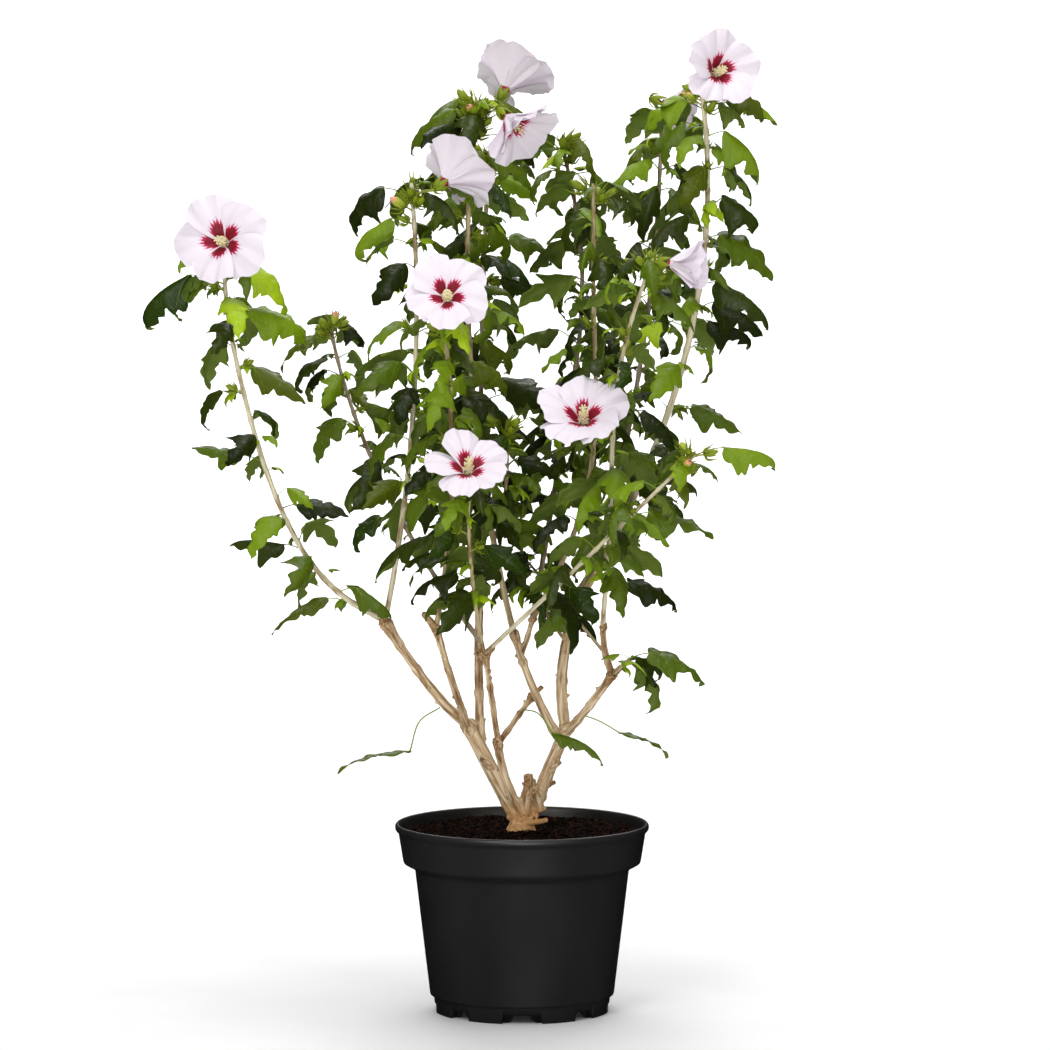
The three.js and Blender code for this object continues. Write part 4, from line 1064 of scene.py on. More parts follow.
for name, root, end, seed in found["twigs"]:
    roll = dice(seed * 16)
    bend = Vector((roll() - 0.5, roll() - 0.5, roll() - 0.2)) * 5
    path = curve((root, root.lerp(end, 0.5) + bend, end), TWIG_RINGS)
    radii = np.linspace(TWIG_RADIUS[0], TWIG_RADIUS[1] * 0.8, TWIG_RINGS)
    tube(canes, path, radii, TWIG_ROUND, 2)
    heading = (end - root).normalized()
    for i in range(3):
        add_small_leaf(Vector(path[4 + 3 * i]), 360 * roll(), roll, (18, 22),
                       seed * 5 + 90000 + i, name)

# ---- flowers

PETAL_ROWS, PETAL_COLUMNS = 49, 33
PETAL_THICK = 0.5
STAMENS, BRACTS = 64, 8
petals, hearts, greens = Piece(), Piece(), Piece()


def blob(piece, centre, radius, tint=0, squash=1.0, axis=None):
    """A small rounded knob of 20 faces."""
    g = (1 + 5**0.5) / 2
    corners = np.array([(-1, g, 0), (1, g, 0), (-1, -g, 0), (1, -g, 0), (0, -1, g), (0, 1, g),
                        (0, -1, -g), (0, 1, -g), (g, 0, -1), (g, 0, 1), (-g, 0, -1), (-g, 0, 1)],
                       float) / (1 + g * g) ** 0.5
    faces = [(0, 11, 5), (0, 5, 1), (0, 1, 7), (0, 7, 10), (0, 10, 11), (1, 5, 9), (5, 11, 4),
             (11, 10, 2), (10, 7, 6), (7, 1, 8), (3, 9, 4), (3, 4, 2), (3, 2, 6), (3, 6, 8),
             (3, 8, 9), (4, 9, 5), (2, 4, 11), (6, 2, 10), (8, 6, 7), (9, 8, 1)]
    piece.add(np.array(centre) + corners * radius * np.array((1, 1, squash)), faces, tint)


def add_petal(bloom, place, k, roll):
    """One ruffled petal with its part of the dark eye and rays, and a plainer skin behind it."""
    *_, spread, petal, broad = bloom
    rows, columns = PETAL_ROWS, PETAL_COLUMNS
    s = np.linspace(0.02, 1, rows)[:, None]
    q = np.linspace(-1, 1, columns)[None]
    length = petal * (0.95 + 0.1 * roll())
    tilt = 0.34 * (roll() - 0.5)
    wavy, crease = TAU * roll(), 0.6 * (roll() - 0.5)
    notched = 0.02 * np.sin(5 * q + wavy) + 0.007 * np.sin(15 * q + 2 * wavy)
    skew = 0.16 * (roll() - 0.5) * q
    reach = s * (1 - 0.27 * np.abs(q) ** 2.3 + skew * s + notched * s**4)
    half = broad * length * (0.06 + 0.575 * s**1.1) * (1 - 0.12 * s**4)
    angle = np.radians(spread * (0.4 + 0.46 * reach)) + tilt * s
    out = NECK + length * reach * np.sin(angle)
    rise = length * reach * np.cos(angle)
    lean = q * 0.085 * length * s - 0.09 * length * (q * s) ** 2 * (0.2 + 0.8 * roll())
    lean = lean + 0.045 * length * s**2 * np.sin(2.6 * q * math.pi + wavy)
    lean = lean + 0.016 * length * s**4 * np.sin(6.1 * q * math.pi + 2 * wavy)
    lean = lean + 0.05 * length * s * np.exp(-(((q - crease) / 0.16) ** 2)) * (roll() - 0.35)
    flutes = 0.1 * np.cos(np.arange(columns) * math.pi)[None] * np.minimum(1, 2.2 * s) * s
    out = out - (lean + flutes) * np.cos(angle)
    rise = rise + (lean + flutes) * np.sin(angle)
    side = q * half
    wrap = side / np.maximum(out, 6) * 0.55
    phi = rad(36 + 72 * k) + wrap
    across = side * 0.45
    x = out * np.sin(phi) + across * np.cos(phi - wrap)
    y = -out * np.cos(phi) + across * np.sin(phi - wrap)
    local = np.stack([x + 0 * s, y + 0 * s, rise + 0 * q], -1).reshape(-1, 3)
    points = np.array([tuple(place(Vector(p))) for p in local])
    u = np.broadcast_to(reach, (rows, columns)).copy()
    v = side / length
    fan = np.arctan2(v, u + 0.05)
    rays = 0.5 + 0.5 * np.cos(46 * fan + wavy) * (0.7 + 0.3 * np.cos(19 * fan + 2 * wavy))
    cell_u = (u[:-1, :-1] + u[1:, 1:]) / 2
    cell_v = np.abs(v[:-1, :-1] + v[1:, 1:]) / 2
    cell_ray = (rays[:-1, :-1] + rays[1:, 1:]) / 2
    oval = np.sqrt((np.maximum(cell_u - 0.22, 0.22 - cell_u) / 0.16) ** 2 + (cell_v / 0.12) ** 2)
    spikes = cell_ray * np.clip((cell_u - 0.14) * 5, 0, 1)
    tint = np.where(oval < 1.0 + 1.35 * spikes, 3, 0)
    tint = np.where(oval < 0.98 + 0.95 * spikes, 2, tint)
    tint = np.where(oval < 0.9 + 0.42 * spikes, 1, tint)
    tint = np.where(cell_u < 0.075, 0, tint).ravel()
    petals.add(points, grid_faces(rows, columns), np.concatenate([tint, tint]))
    shape = points.reshape(rows, columns, 3)
    normal = np.cross(np.gradient(shape, axis=0), np.gradient(shape, axis=1))
    normal /= np.linalg.norm(normal, axis=2)[..., None] + 1e-9
    if (normal.mean((0, 1)) * np.array(place(Vector((0, 0, 1))) - place(Vector()))).sum() > 0:
        normal = -normal
    thick = 0.05 + PETAL_THICK * (1 - s**8) * (1 - np.abs(q) ** 8)
    back = (shape + normal * thick[..., None])[::3, ::2]
    faces = grid_faces(back.shape[0], back.shape[1])[:, ::-1]
    near_base = np.repeat(np.arange(back.shape[0] - 1) < 1, back.shape[1] - 1)
    near_base = np.concatenate([near_base, near_base])
    petals.add(back.reshape(-1, 3), faces, np.where(near_base, 2, 0))


def add_column(bloom, place, roll):
    """The column of a flower with its stamens, and five stigmas at its tip."""
    _, _, faces_way, _, _, petal, _ = bloom
    length = 0.44 * petal
    axis = Vector(faces_way).normalized()
    tip_sag = UP * (-0.12 * length) if abs(axis.z) < 0.6 else Vector()
    base, top = place(Vector((0, 0, 0))), place(Vector((0, 0, length))) + tip_sag
    column = curve((base, base.lerp(top, 0.5) - tip_sag * 0.2, top), 10)
    tube(hearts, column, np.linspace(2.1, 1.1, 10), 8, 0)
    side = axis.orthogonal().normalized()
    for i in range(STAMENS):
        t = 0.22 + 0.72 * i / (STAMENS - 1)
        spine = Vector(column[min(9, int(t * 9.99))])
        around = spun(side, axis, i * 2.4)
        reach = (2.6 + 2.2 * roll()) * (1.15 - 0.45 * t)
        knob = spine + around * (1.2 + reach) + axis * (roll() * 2.2)
        tube(hearts, (spine, knob), (0.28, 0.2), 3, 0)
        blob(hearts, knob, 0.95, 1)
    for i in range(5):
        around = spun(side, axis, i * TAU / 5)
        end = top + axis * 4.5 + around * 2.6
        tube(hearts, curve((top, top + axis * 3 + around * 0.8, end), 5), 0.4, 4, 0)
        blob(hearts, end, 0.9, 0)


def add_calyx(place, stem_point, roll):
    """A ribbed cup of five pointed lobes, a ring of slim bracts behind it, and the stalk."""
    marks = np.linspace(0, 1, 9)
    for i in range(5):
        ring = []
        for m in marks:
            radius = 1.6 + 5.6 * math.sin(min(1, m * 1.5) * math.pi / 2) + 2.5 * max(0, m - 0.6)
            height = -CALYX_LENGTH + 3 + 19 * m
            half = rad(37) * min(1, (1 - m) * 2.0 + 0.02)
            for w in np.linspace(-1, 1, 7):
                phi = rad(72 * i) + half * w
                r = radius * (1 - 0.1 * w * w)
                ring.append(tuple(place(Vector((r * math.sin(phi), -r * math.cos(phi), height)))))
        greens.add(ring, grid_faces(9, 7), 0)
    for i in range(BRACTS):
        phi = TAU * i / BRACTS + roll()
        out = Vector((math.sin(phi), -math.cos(phi), 0))
        path = [place(out * r + UP * h) for r, h in
                ((2, -CALYX_LENGTH + 3), (7, -CALYX_LENGTH + 6), (9.5, -CALYX_LENGTH + 13))]
        tube(greens, curve(path, 6), (0.8, 0.8, 0.7, 0.6, 0.4, 0.15), 4, 0)
    back = place(Vector((0, 0, -CALYX_LENGTH + 3)))
    stalk = curve((stem_point, stem_point.lerp(back, 0.5) + UP * 2, back), 12)
    tube(greens, stalk, np.linspace(1.5, 1.7, 12), 7, 1)


def add_bloom(bloom, stem_point, number):
    place = bloom_frame(bloom)
    roll = dice(7100 + number)
    for k in range(5):
        add_petal(bloom, place, k, roll)
    add_column(bloom, place, roll)
    add_calyx(place, stem_point, roll)


# How many more buds crowd the tip of a mass.
TIP_BUDS = {
    "cane_top": 12, "cane_left_tall": 6, "cane_rear_right": 5, "cane_rear_tall": 4,
    "cane_centre_right": 4, "cane_rear_far": 4, "cane_inner_right": 5, "cane_diagonal": 4,
    "cane_front_diagonal": 4, "cane_front_thin": 2, "cane_small": 3, "cane_right_tall": 4,
    "cane_inner_left": 2,
}


def add_bud(root, aim, stalk, size, seed, ripe):
    """A bud: stalk, ring of bracts, five-ribbed calyx, and on a ripe one the rolled petals."""
    roll = dice(seed * 8 + 3)
    side = aim.orthogonal().normalized()
    front = aim.cross(side)
    end = root + aim * stalk
    tube(greens, curve((root - aim, root.lerp(end, 0.5) + UP, end), 7), 1.05, 6, 1)
    rows, columns = 9, 12
    body = []
    for r in range(rows):
        m = r / (rows - 1)
        width = size * 0.24 * math.sin(math.pi * min(1, 0.1 + m * 0.86)) ** 0.7
        for c in range(columns):
            phi = TAU * c / columns
            ribbed = width * (1 + 0.07 * math.cos(5 * phi))
            body.append(tuple(end + aim * (m * size * 0.94)
                              + (side * math.cos(phi) + front * math.sin(phi)) * ribbed))
    tint = 3 if ripe else 0
    cells = np.concatenate([np.repeat(np.arange(rows - 1), columns)] * 2)
    greens.add(body, grid_faces(rows, columns, True), np.where(cells >= 6, tint, 2 if ripe else 0))
    for i in range(BRACTS):
        around = spun(side, aim, TAU * i / BRACTS + 0.6 * roll())
        reach = size * (0.4 + 0.22 * roll())
        path = (end - aim, end + around * reach * 0.8 + aim * size * 0.1,
                end + around * reach * 1.2 + aim * size * (0.6 + 0.5 * roll()))
        tube(greens, curve(path, 5), (0.9, 1.1, 0.95, 0.65, 0.12), 4, 0)


for number, (bloom, stem_point) in enumerate(found["blooms"]):
    add_bloom(bloom, stem_point, number)
for name, root, aim, stalk, size, seed in found["buds"]:
    add_bud(root, aim, stalk, size, seed, dice(seed)() < 0.3)
for order, (name, count) in enumerate(TIP_BUDS.items()):
    roll = dice(8200 + order)
    foot, tip, bow, sway = CANES[name][:4]
    line = line_of(foot, tip, bow, sway)
    heading = heading_of(line, LAST_SHARE)
    for i in range(count):
        root = line(LAST_SHARE) - heading * (3 + 26 * roll() ** 1.5)
        aim = (heading * (0.35 + 0.8 * roll()) + level(360 * roll())).normalized()
        add_bud(root, aim, 6 + 13 * roll(), 13 + 7 * roll(), 51000 + order * 40 + i, roll() < 0.12)
for _, point, heading, t, bearing, seed in found["nodes"]:
    roll = dice(seed * 64 + 1)
    if t > 0.5 and roll() < 0.42:
        lean = level(bearing + 40 * roll())
        aim = (heading * 0.6 + lean).normalized()
        add_bud(point, aim, 6 + 8 * roll(), 10 + 8 * roll(), seed + 50000, False)

# ---- old wood

WOOD_VOXEL = 1.25
SPLINTERS = 8
TRUNK_ROWS, TRUNK_COLUMNS = 22, 40
# foot, tip and radius of the cut and broken side shoots
STUBS = (
    ((-153, -20, 437), (-168, -18, 460), 3.4),
    ((-95, -50, 432), (-109, -52, 449), 3.6),
    ((12, 22, 350), (22, 14, 360), 2.6),
    ((98, -37, 378), (109, -36, 388), 3.4),
    ((-46, 56, 476), (-50, 55, 487), 4.2),
    ((60, 50, 452), (84, 54, 492), 5.6),
    ((31, 5, 268), (43, 1, 278), 2.4),
    ((-36, -4, 276), (-46, -8, 282), 2.2),
    ((-41, -34, 400), (-31, -38, 410), 3.0),
    ((-41, -34, 396), (-50, -40, 404), 2.6),
    ((20, -2, 224), (14, -9, 244), 4.6),
    ((26, 8, 248), (37, 4, 255), 2.2),
)
rough = Piece()
spine = []


def wooden(path, radii, sides):
    """A round piece of old wood, whose line is kept for the grain of the bark."""
    path = np.array([tuple(p) for p in path])
    tube(rough, path, radii, sides)
    spine.extend(zip(path, *frames_of(path)))


def add_boughs():
    """Boughs with swellings, and the short broken spurs on them."""
    for name, (foot, tip, bow, radius, knot) in {**LIMBS, "stump": STUMP, "stub": STUB}.items():
        line = line_of(foot, tip, bow)
        length = (Vector(foot) - Vector(tip)).length
        count = max(8, int(length / 3))
        shares = np.linspace(-0.02, 1, count)
        swell = np.array([1 + (knot - 1) * smoothstep(t, KNOT_FROM, 1) for t in shares])
        radii = (radius[0] + (radius[1] - radius[0]) * shares) * swell
        roll = dice(len(name) * 31 + int(abs(tip[0])))
        for _ in range(int(length / 30)):
            at_share = roll()
            radii = radii + (0.4 + 0.8 * roll()) * np.exp(-(((shares - at_share) * length / 3.5) ** 2))
        wooden([line(t) for t in shares], radii, 14)
        # short broken spurs
        for _ in range(max(1, int(length / 30))):
            t = 0.12 + 0.82 * roll()
            p = line(t)
            heading = heading_of(line, t)
            around = spun(heading.orthogonal().normalized(), heading, TAU * roll())
            r = radius[0] + (radius[1] - radius[0]) * t
            spur = 1.2 + 2.6 * roll()
            out = p + around * (r + spur) + heading * (spur * 0.7)
            tube(rough, (p, p + around * r * 0.8, out), (2.6, 2.2, 1.1 + 0.6 * roll()), 8)


def add_knuckles():
    """Lumps where boughs fork."""
    for name, (foot, tip, bow, radius, knot) in LIMBS.items():
        roll = dice(len(name) * 57 + int(abs(tip[2])))
        line = line_of(foot, tip, bow)
        for place_at, size, lumps in ((0.985, radius[1] * knot, 12), (0.03, radius[0], 6)):
            middle = line(place_at)
            for _ in range(lumps):
                way = Vector((roll() - 0.5, roll() - 0.5, roll() - 0.6)).normalized()
                blob(rough, middle + way * size * (0.7 + 0.45 * roll()), 1.4 + 2.2 * roll())


def add_stubs():
    """Cut side shoots with a collar of knobs."""
    for start, end, thick in STUBS:
        start, end = Vector(start), Vector(end)
        wooden(curve((start, start.lerp(end, 0.5) + Vector((0.6, 0, 0.4)), end), 8),
               np.linspace(thick * 1.35, thick, 8), 10)
        for i in range(4):
            turn = Vector((math.cos(i * 1.9), math.sin(i * 1.9), 0.3))
            blob(rough, start + turn * thick * 1.2, thick * 0.55)


def add_splinters():
    """The torn top of the broken stump."""
    splinter = dice(77)
    for i in range(SPLINTERS):
        turn = TAU * i / SPLINTERS + 0.5 * splinter()
        out = 5.6 * (0.35 + 0.65 * splinter())
        low = Vector((4 + out * math.cos(turn), -6 + out * 0.8 * math.sin(turn), 236))
        high = low + Vector((6 + 3 * splinter(), -1, 12 + 17 * splinter()))
        tube(rough, curve((low, low.lerp(high, 0.5) + Vector((1, 0, 0)), high), 7),
             np.linspace(3.6, 1.6, 7), 8)


def add_butt():
    """The flared, ribbed butt, closed at the soil and at the fork."""
    butt = []
    for r in range(TRUNK_ROWS):
        share = r / (TRUNK_ROWS - 1)
        rise = share * TRUNK_HEIGHT
        middle = Vector(TRUNK_FOOT).lerp(Vector(TRUNK_TOP), share)
        for c in range(TRUNK_COLUMNS):
            phi = TAU * c / TRUNK_COLUMNS
            ribbed = 1 + 0.22 * math.cos(3 * phi)
            reach = 11.5 - 1.5 * share + 5.5 * math.exp(-rise / 5) * ribbed
            butt.append((middle.x + reach * math.cos(phi), middle.y + reach * math.sin(phi) * 0.86,
                         middle.z - (TRUNK_SUNK if r == 0 else 0)))
    side_faces = grid_faces(TRUNK_ROWS, TRUNK_COLUMNS, True)
    n = len(butt)
    butt += [(TRUNK_FOOT[0], TRUNK_FOOT[1], TRUNK_FOOT[2] - TRUNK_SUNK), TRUNK_TOP]
    ring = np.arange(TRUNK_COLUMNS)
    after = (ring + 1) % TRUNK_COLUMNS
    low_cap = np.stack([np.full(TRUNK_COLUMNS, n), after, ring], 1)
    high = n - TRUNK_COLUMNS
    high_cap = np.stack([np.full(TRUNK_COLUMNS, n + 1), high + ring, high + after], 1)
    rough.add(butt, np.concatenate([side_faces, low_cap, high_cap]))
    upright = np.array([(-2, -1, z) for z in range(200, 236, 3)], float)
    spine.extend(zip(upright, *frames_of(upright)))


add_boughs()
add_knuckles()
add_stubs()
add_splinters()
add_butt()
BARK = bark_material("bark_old", colour(232, 214, 182), colour(192, 164, 126),
                     colour(116, 86, 58), 380, colour(70, 48, 30))
wood = rough.make("old_wood", [BARK], "bark", ["trunk", *LIMBS])
remesh = wood.modifiers.new("Remesh", "REMESH")
remesh.mode = "VOXEL"
remesh.voxel_size = WOOD_VOXEL * MM
bpy.context.view_layer.objects.active = wood
with bpy.context.temp_override(object=wood, active_object=wood, selected_objects=[wood]):
    bpy.ops.object.modifier_apply(modifier=remesh.name)


def carve_bark(wood):
    """Moves the skin along the grain of the bark and marks where it is worn or tan."""
    mesh = wood.data
    points = np.zeros(len(mesh.vertices) * 3)
    mesh.vertices.foreach_get("co", points)
    points = points.reshape(-1, 3)
    normals = np.zeros(len(mesh.vertices) * 3)
    mesh.vertices.foreach_get("normal", normals)
    normals = normals.reshape(-1, 3)
    tree = kdtree.KDTree(len(spine))
    for i, (middle, *_rest) in enumerate(spine):
        tree.insert(middle, i)
    tree.balance()
    joints = [(np.array(tip), 8 + 2 * radius[1])
              for _, tip, _, radius, knot in LIMBS.values() if knot > 1.2]
    joints += [(np.array(end), 6 + thick) for _, end, thick in STUBS]
    joints += [(np.array((8, -8, 258)), 20), (np.array((9, -6, 244)), 14)]
    relief, grain, wear = np.zeros(len(points)), np.zeros((len(points), 3)), np.zeros(len(points))
    for i, p in enumerate(points / MM):
        middle, heading, side, front, along = spine[tree.find(p)[1]]
        off = p - middle
        a, b, length = off @ side, off @ front, along + off @ heading
        grain[i] = (a, b, length)
        relief[i] = (0.34 * noise.noise(Vector((a * 0.5, b * 0.5, length * 0.04)))
                     + 0.6 * noise.noise(Vector((a * 0.14, b * 0.14, length * 0.07 + 9)))
                     + 0.2 * noise.noise(Vector((a * 0.9, b * 0.9, length * 0.3 + 4))))
    for centre, reach in joints:
        apart = np.linalg.norm(points / MM - centre, axis=1) / reach
        wear = np.maximum(wear, np.exp(-(apart**2) * 2.2))
    relief = relief * (1 + 1.3 * wear)
    low = 1 - np.clip((points[:, 2] / MM - 222) / 14, 0, 1)
    tan = np.clip(np.maximum(0.75 * low, 0.6 * wear), 0, 1)
    points = points + normals * relief[:, None] * MM
    mesh.vertices.foreach_set("co", points.ravel())
    mesh.polygons.foreach_set("use_smooth", np.ones(len(mesh.polygons), bool))
    set_grain(mesh, grain)
    for layer, values in (("wear", wear), ("tan", tan)):
        mesh.attributes.new(layer, "FLOAT", "POINT").data.foreach_set("value", values)
    mesh.update()


carve_bark(wood)

# ---- pieces of the shrub

# cane_grey is the darker copy given to rear canes as painted shade; cane_pale is the lighter copy for
# the outer front canes.
CANE_BARK = [
    bark_material(name, *(colour(*tint) for tint in tints), 480)
    for name, *tints in (
        ("cane_pale", (224, 216, 188), (206, 196, 164), (168, 152, 116)),
        ("cane_grey", (176, 162, 138), (146, 130, 108), (106, 92, 72)),
        ("cane_tan", (204, 188, 150), (176, 158, 118), (130, 110, 76)),
    )
]
GREENS = leaf_materials(
    ("bud_green", (132, 148, 24), 0.5),
    ("flower_stalk", (152, 160, 66), 0.52),
    ("bud_pale", (178, 188, 66), 0.5),
    ("bud_peach", (232, 164, 124), 0.5),
)
PETALS = leaf_materials(
    ("petal_white", (232, 223, 232), 0.6, 0.2, 500),
    ("petal_eye", (132, 6, 36), 0.5, 0.2, 500),
    ("petal_ray", (186, 24, 70), 0.5, 0.2, 500),
    ("petal_blush", (226, 176, 204), 0.6, 0.2, 500),
)
HEARTS = leaf_materials(
    ("column_cream", (244, 238, 196), 0.5, 0.2, 500),
    ("anther_cream", (240, 228, 176), 0.6, 0.2, 900),
)
for side, piece in leaf_pieces.items():
    piece.make("leaves_" + side, LEAF_TINTS, "foliage")
ribs.make("leaf_ribs", RIB_TINTS, "foliage")
canes.make("canes", CANE_BARK, "bark", [*CANES, *LOW_LEAVES], grained=True)
petals.make("petals", PETALS, "foliage")
hearts.make("stamens", HEARTS, "foliage")
greens.make("buds", GREENS, "foliage")

# ---- pot and soil

pot = Piece()
profile = [
    (0, 0), (35, 0), (36, 17), (84, 17), (85, 0.4), (85.6, 0), (89.6, 0), (90.2, 0), (97, 0),
    (97.6, 0.6), (98.4, 17.2),
    (98.8, 18.2), (102.2, 19), (102.7, 20.4), (119.1, 157.6), (119.7, 158.9), (124, 162.3),
    (129, 164.7), (131.6, 166.3), (132.4, 168.5), (133, 171.5), (137.4, 198.6), (138, 200.4),
    (140.1, 202.2), (141, 203.6), (141.2, 205.6), (140.9, 207.8), (139.8, 209.4), (138.4, 210),
    (137.2, 209.2), (136, 207.2), (134.6, 204), (130, 171.5), (129.2, 169.1), (120.4, 163.3),
    (118, 161.5), (101, 18.8), (0, 18.6),
]
NOTCH_HEIGHT, NOTCH_LEDGE = 9.5, 90
# Bearing from the middle of each quarter, width outside the ledge, width inside it at the top
# and at the foot.
NOTCHES = ((0, 43, 15.6, 34), (45, 26, 14, 23))
notches = [(rad(bearing + 90 * quarter - 90), outer / 2, top / 2, foot / 2)
           for quarter in range(4) for bearing, outer, top, foot in NOTCHES]
POT_SPOKES = 144
angles = set(np.arange(POT_SPOKES) * TAU / POT_SPOKES)
for centre, outer, top, foot in notches:
    half = math.asin((outer / 2 + 1.5) / 96)
    angles = {a for a in angles if abs((a - centre + math.pi) % TAU - math.pi) > half * 1.1}
    for radius, ends in ((87.5, np.linspace(top, foot, 6)), (97, (outer - 0.6, outer, outer + 0.6))):
        turns = [math.asin(end / radius) for end in ends]
        angles |= {(centre + side * turn) % TAU for turn in turns for side in (-1, 1)}
    angles |= {centre % TAU}
angles = sorted(angles)


def notch_rise(radius, phi):
    """How high the foot ring is cut away at this place."""
    rise = 0
    for centre, outer, top, foot in notches:
        turn = abs((phi - centre + math.pi) % TAU - math.pi)
        if turn > 0.5:
            continue
        across = radius * math.sin(turn)
        if radius > NOTCH_LEDGE:
            rise = max(rise, NOTCH_HEIGHT * smoothstep(-across, -outer - 0.3, -outer + 0.3))
        else:
            rise = max(rise, NOTCH_HEIGHT * min(1, max(0, (foot - across) / (foot - top))) ** 2)
    return rise


ring_points = []
for radius, height in profile:
    for phi in angles:
        in_ring = 84.5 < radius < 98 and height < NOTCH_HEIGHT
        lifted = max(height, notch_rise(radius, phi)) if in_ring else height
        ring_points.append((radius * math.cos(phi), radius * math.sin(phi), lifted))
pot.add(ring_points, grid_faces(len(profile), len(angles), True)[:, ::-1])


def pot_material():
    made, nodes, links, shader = new_material("pot_black", colour(40, 40, 40), 0.5)
    grain = noise_node(nodes, links, 900, 4)
    haze = noise_node(nodes, links, 18, 5, (1, 1, 0.4))
    tone = ramp_node(nodes, links, haze.outputs["Fac"],
                     [(0.3, colour(29, 29, 29)), (0.7, colour(33, 33, 33))])
    links.new(tone.outputs["Color"], shader.inputs["Base Color"])
    gloss = ramp_node(nodes, links, haze.outputs["Fac"], [(0.3, grey(0.38)), (0.7, grey(0.46))])
    links.new(gloss.outputs["Color"], shader.inputs["Roughness"])
    bump_from(nodes, links, shader, grain.outputs["Fac"], 0.12, 0.0004)
    shader.inputs["Specular IOR Level"].default_value = 1.0
    return made


pot.make("pot_shell", [pot_material()], "pot", ["pot"])


def soil_height(x, y):
    out = math.hypot(x, y)
    base = SOIL_TOP - 0.4 - 2.5 * smoothstep(out, 60, 132)
    lump = 2.6 * noise.noise(Vector((x * 0.045, y * 0.045, 3)))
    crumb = 1.7 * noise.noise(Vector((x * 0.16, y * 0.16, 8)))
    grit = 1.2 * noise.noise(Vector((x * 0.5, y * 0.5, 1)))
    near = smoothstep(out, 10, 30)
    return base + (lump + crumb) * near + grit - 1.2


soil = Piece()
SOIL_RINGS, SOIL_SPOKES, SOIL_RADIUS = 85, 240, 133.2
CRUMBS, BITS = 2200, 420


def add_bed():
    """The crumbled top of the filling."""
    soil_points = []
    for r in range(SOIL_RINGS):
        radius = SOIL_RADIUS * (r / (SOIL_RINGS - 1)) ** 0.8
        for c in range(SOIL_SPOKES):
            phi = TAU * c / SOIL_SPOKES
            x, y = radius * math.cos(phi), radius * math.sin(phi)
            soil_points.append((x, y, soil_height(x, y)))
    soil.add(soil_points, grid_faces(SOIL_RINGS, SOIL_SPOKES, True))


def add_crumbs():
    """Loose crumbs, and short bits of root and bark."""
    crumbs = dice(91)
    for _ in range(CRUMBS):
        radius, phi = 129 * crumbs() ** 0.5, TAU * crumbs()
        x, y = radius * math.cos(phi), radius * math.sin(phi)
        size = 0.8 + 2.2 * crumbs() ** 2
        z = soil_height(x, y) + size * 0.25
        if radius < 19:
            continue
        blob(soil, (x, y, z), size, int(4 * crumbs()) % 3, 0.55 + 0.5 * crumbs())
    for _ in range(BITS):
        radius, phi, way = 126 * crumbs() ** 0.5, TAU * crumbs(), TAU * crumbs()
        if radius < 22:
            continue
        x, y = radius * math.cos(phi), radius * math.sin(phi)
        half = 2 + 5 * crumbs()
        z = soil_height(x, y) + 1.4
        path = curve(((x - half * math.cos(way), y - half * math.sin(way), z - 1.2),
                      (x, y, z + 1.2 * crumbs()),
                      (x + half * math.cos(way), y + half * math.sin(way), z - 1.0)), 5)
        tube(soil, path, (0.2, 0.45, 0.5, 0.4, 0.15), 4, 1 + int(2 * crumbs()))


def soil_material(name, dark, light):
    made, nodes, links, shader = new_material(name, dark, 0.95)
    shader.inputs["Specular IOR Level"].default_value = 0.05
    grain = noise_node(nodes, links, 340, 6)
    tone = ramp_node(nodes, links, grain.outputs["Fac"], [(0.35, dark), (0.72, light)])
    links.new(tone.outputs["Color"], shader.inputs["Base Color"])
    bump_from(nodes, links, shader, grain.outputs["Fac"], 0.8, 0.0015)
    return made


add_bed()
add_crumbs()
soil.make("soil_bed", [
    soil_material("peat", colour(8, 5, 3), colour(22, 13, 9)),
    soil_material("peat_brown", colour(18, 9, 5), colour(44, 25, 16)),
    soil_material("peat_red", colour(32, 15, 8), colour(70, 40, 25)),
], "soil", ["soil"])

# ---- floor, light and camera


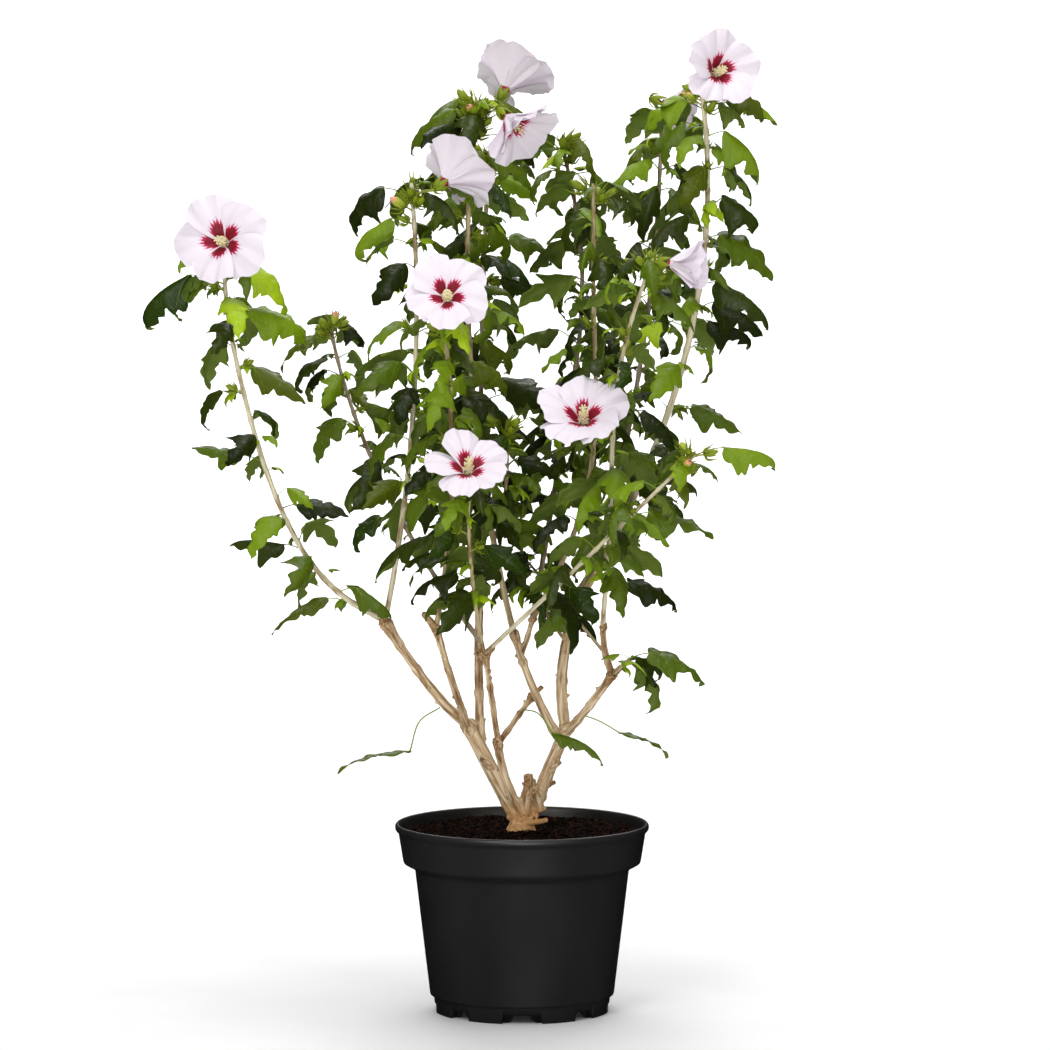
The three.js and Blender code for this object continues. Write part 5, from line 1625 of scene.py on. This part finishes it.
def plain_floor():
    """A pale floor that curves up behind into a backdrop."""
    rows = [(-9, 0), (-3, 0), (0, 0), (6.8, 0), (7.6, 0.03), (8.4, 0.2), (9.1, 0.6), (9.6, 1.2),
            (9.9, 2.2), (10, 7)]
    sheet = Piece()
    grid = [(x * 1000, y * 1000, z * 1000) for y, z in rows for x in np.linspace(-7, 7, 9)]
    sheet.add(grid, grid_faces(len(rows), 9))
    made, nodes, links, shader = new_material("backdrop", colour(246, 246, 246), 0.9)
    grain = noise_node(nodes, links, 6, 2)
    tone = ramp_node(nodes, links, grain.outputs["Fac"],
                     [(0.3, colour(244, 244, 244)), (0.7, colour(248, 248, 248))])
    links.new(tone.outputs["Color"], shader.inputs["Base Color"])
    thing = sheet.make("backdrop", [made], "pot")
    thing.visible_glossy = False


plain_floor()

world = bpy.data.worlds.new("studio")
bpy.context.scene.world = world
world.use_nodes = True
world.node_tree.nodes["Background"].inputs["Color"].default_value = (1, 1, 1, 1)
world.node_tree.nodes["Background"].inputs["Strength"].default_value = 0.5
world.cycles_visibility.glossy = False
bpy.context.scene.view_settings.view_transform = "Standard"


def area_light(name, place, aim, size, power):
    light = bpy.data.lights.new(name, "AREA")
    light.shape = "RECTANGLE"
    light.size, light.size_y = size
    light.energy = power
    thing = bpy.data.objects.new(name, light)
    thing.location = place
    thing.rotation_euler = (Vector(aim) - Vector(place)).to_track_quat("-Z", "Y").to_euler()
    bpy.context.scene.collection.objects.link(thing)


# name, place, aim, size in metres, power in watts
for lamp in (
    ("key", (-1.4, -3.0, 2.6), (0, 0, 0.6), (1.2, 1.2), 34),
    ("fill", (1.8, -3.4, 1.5), (0, 0, 0.5), (2.0, 2.0), 8),
    ("top", (0.3, -0.2, 3.0), (0, 0, 0.6), (1.4, 1.4), 29),
    ("front", (0.1, -3.6, 0.3), (0, 0, 0.12), (0.5, 0.3), 24),
    ("floor", (0, 3.0, 3.0), (0, 2.7, 0), (3.2, 2.4), 84),
    ("backdrop_left", (-3.0, 5.4, 3.2), (-0.9, 9.6, 0.8), (2, 2), 210),
    ("backdrop_right", (3.0, 5.4, 3.2), (0.9, 9.6, 0.8), (2, 2), 210),
):
    area_light(*lamp)

CAMERA_PLACE = Vector((0.0033, -6.0, 1.038))
CAMERA_AIM = Vector((0.0033, 0, 0.542))
camera = bpy.data.cameras.new("camera")
camera.lens = 186.46
camera.sensor_width = 36
camera_thing = bpy.data.objects.new("camera", camera)
camera_thing.location = CAMERA_PLACE
camera_thing.rotation_euler = (CAMERA_AIM - CAMERA_PLACE).to_track_quat("-Z", "Y").to_euler()
bpy.context.scene.collection.objects.link(camera_thing)
bpy.context.scene.camera = camera_thing
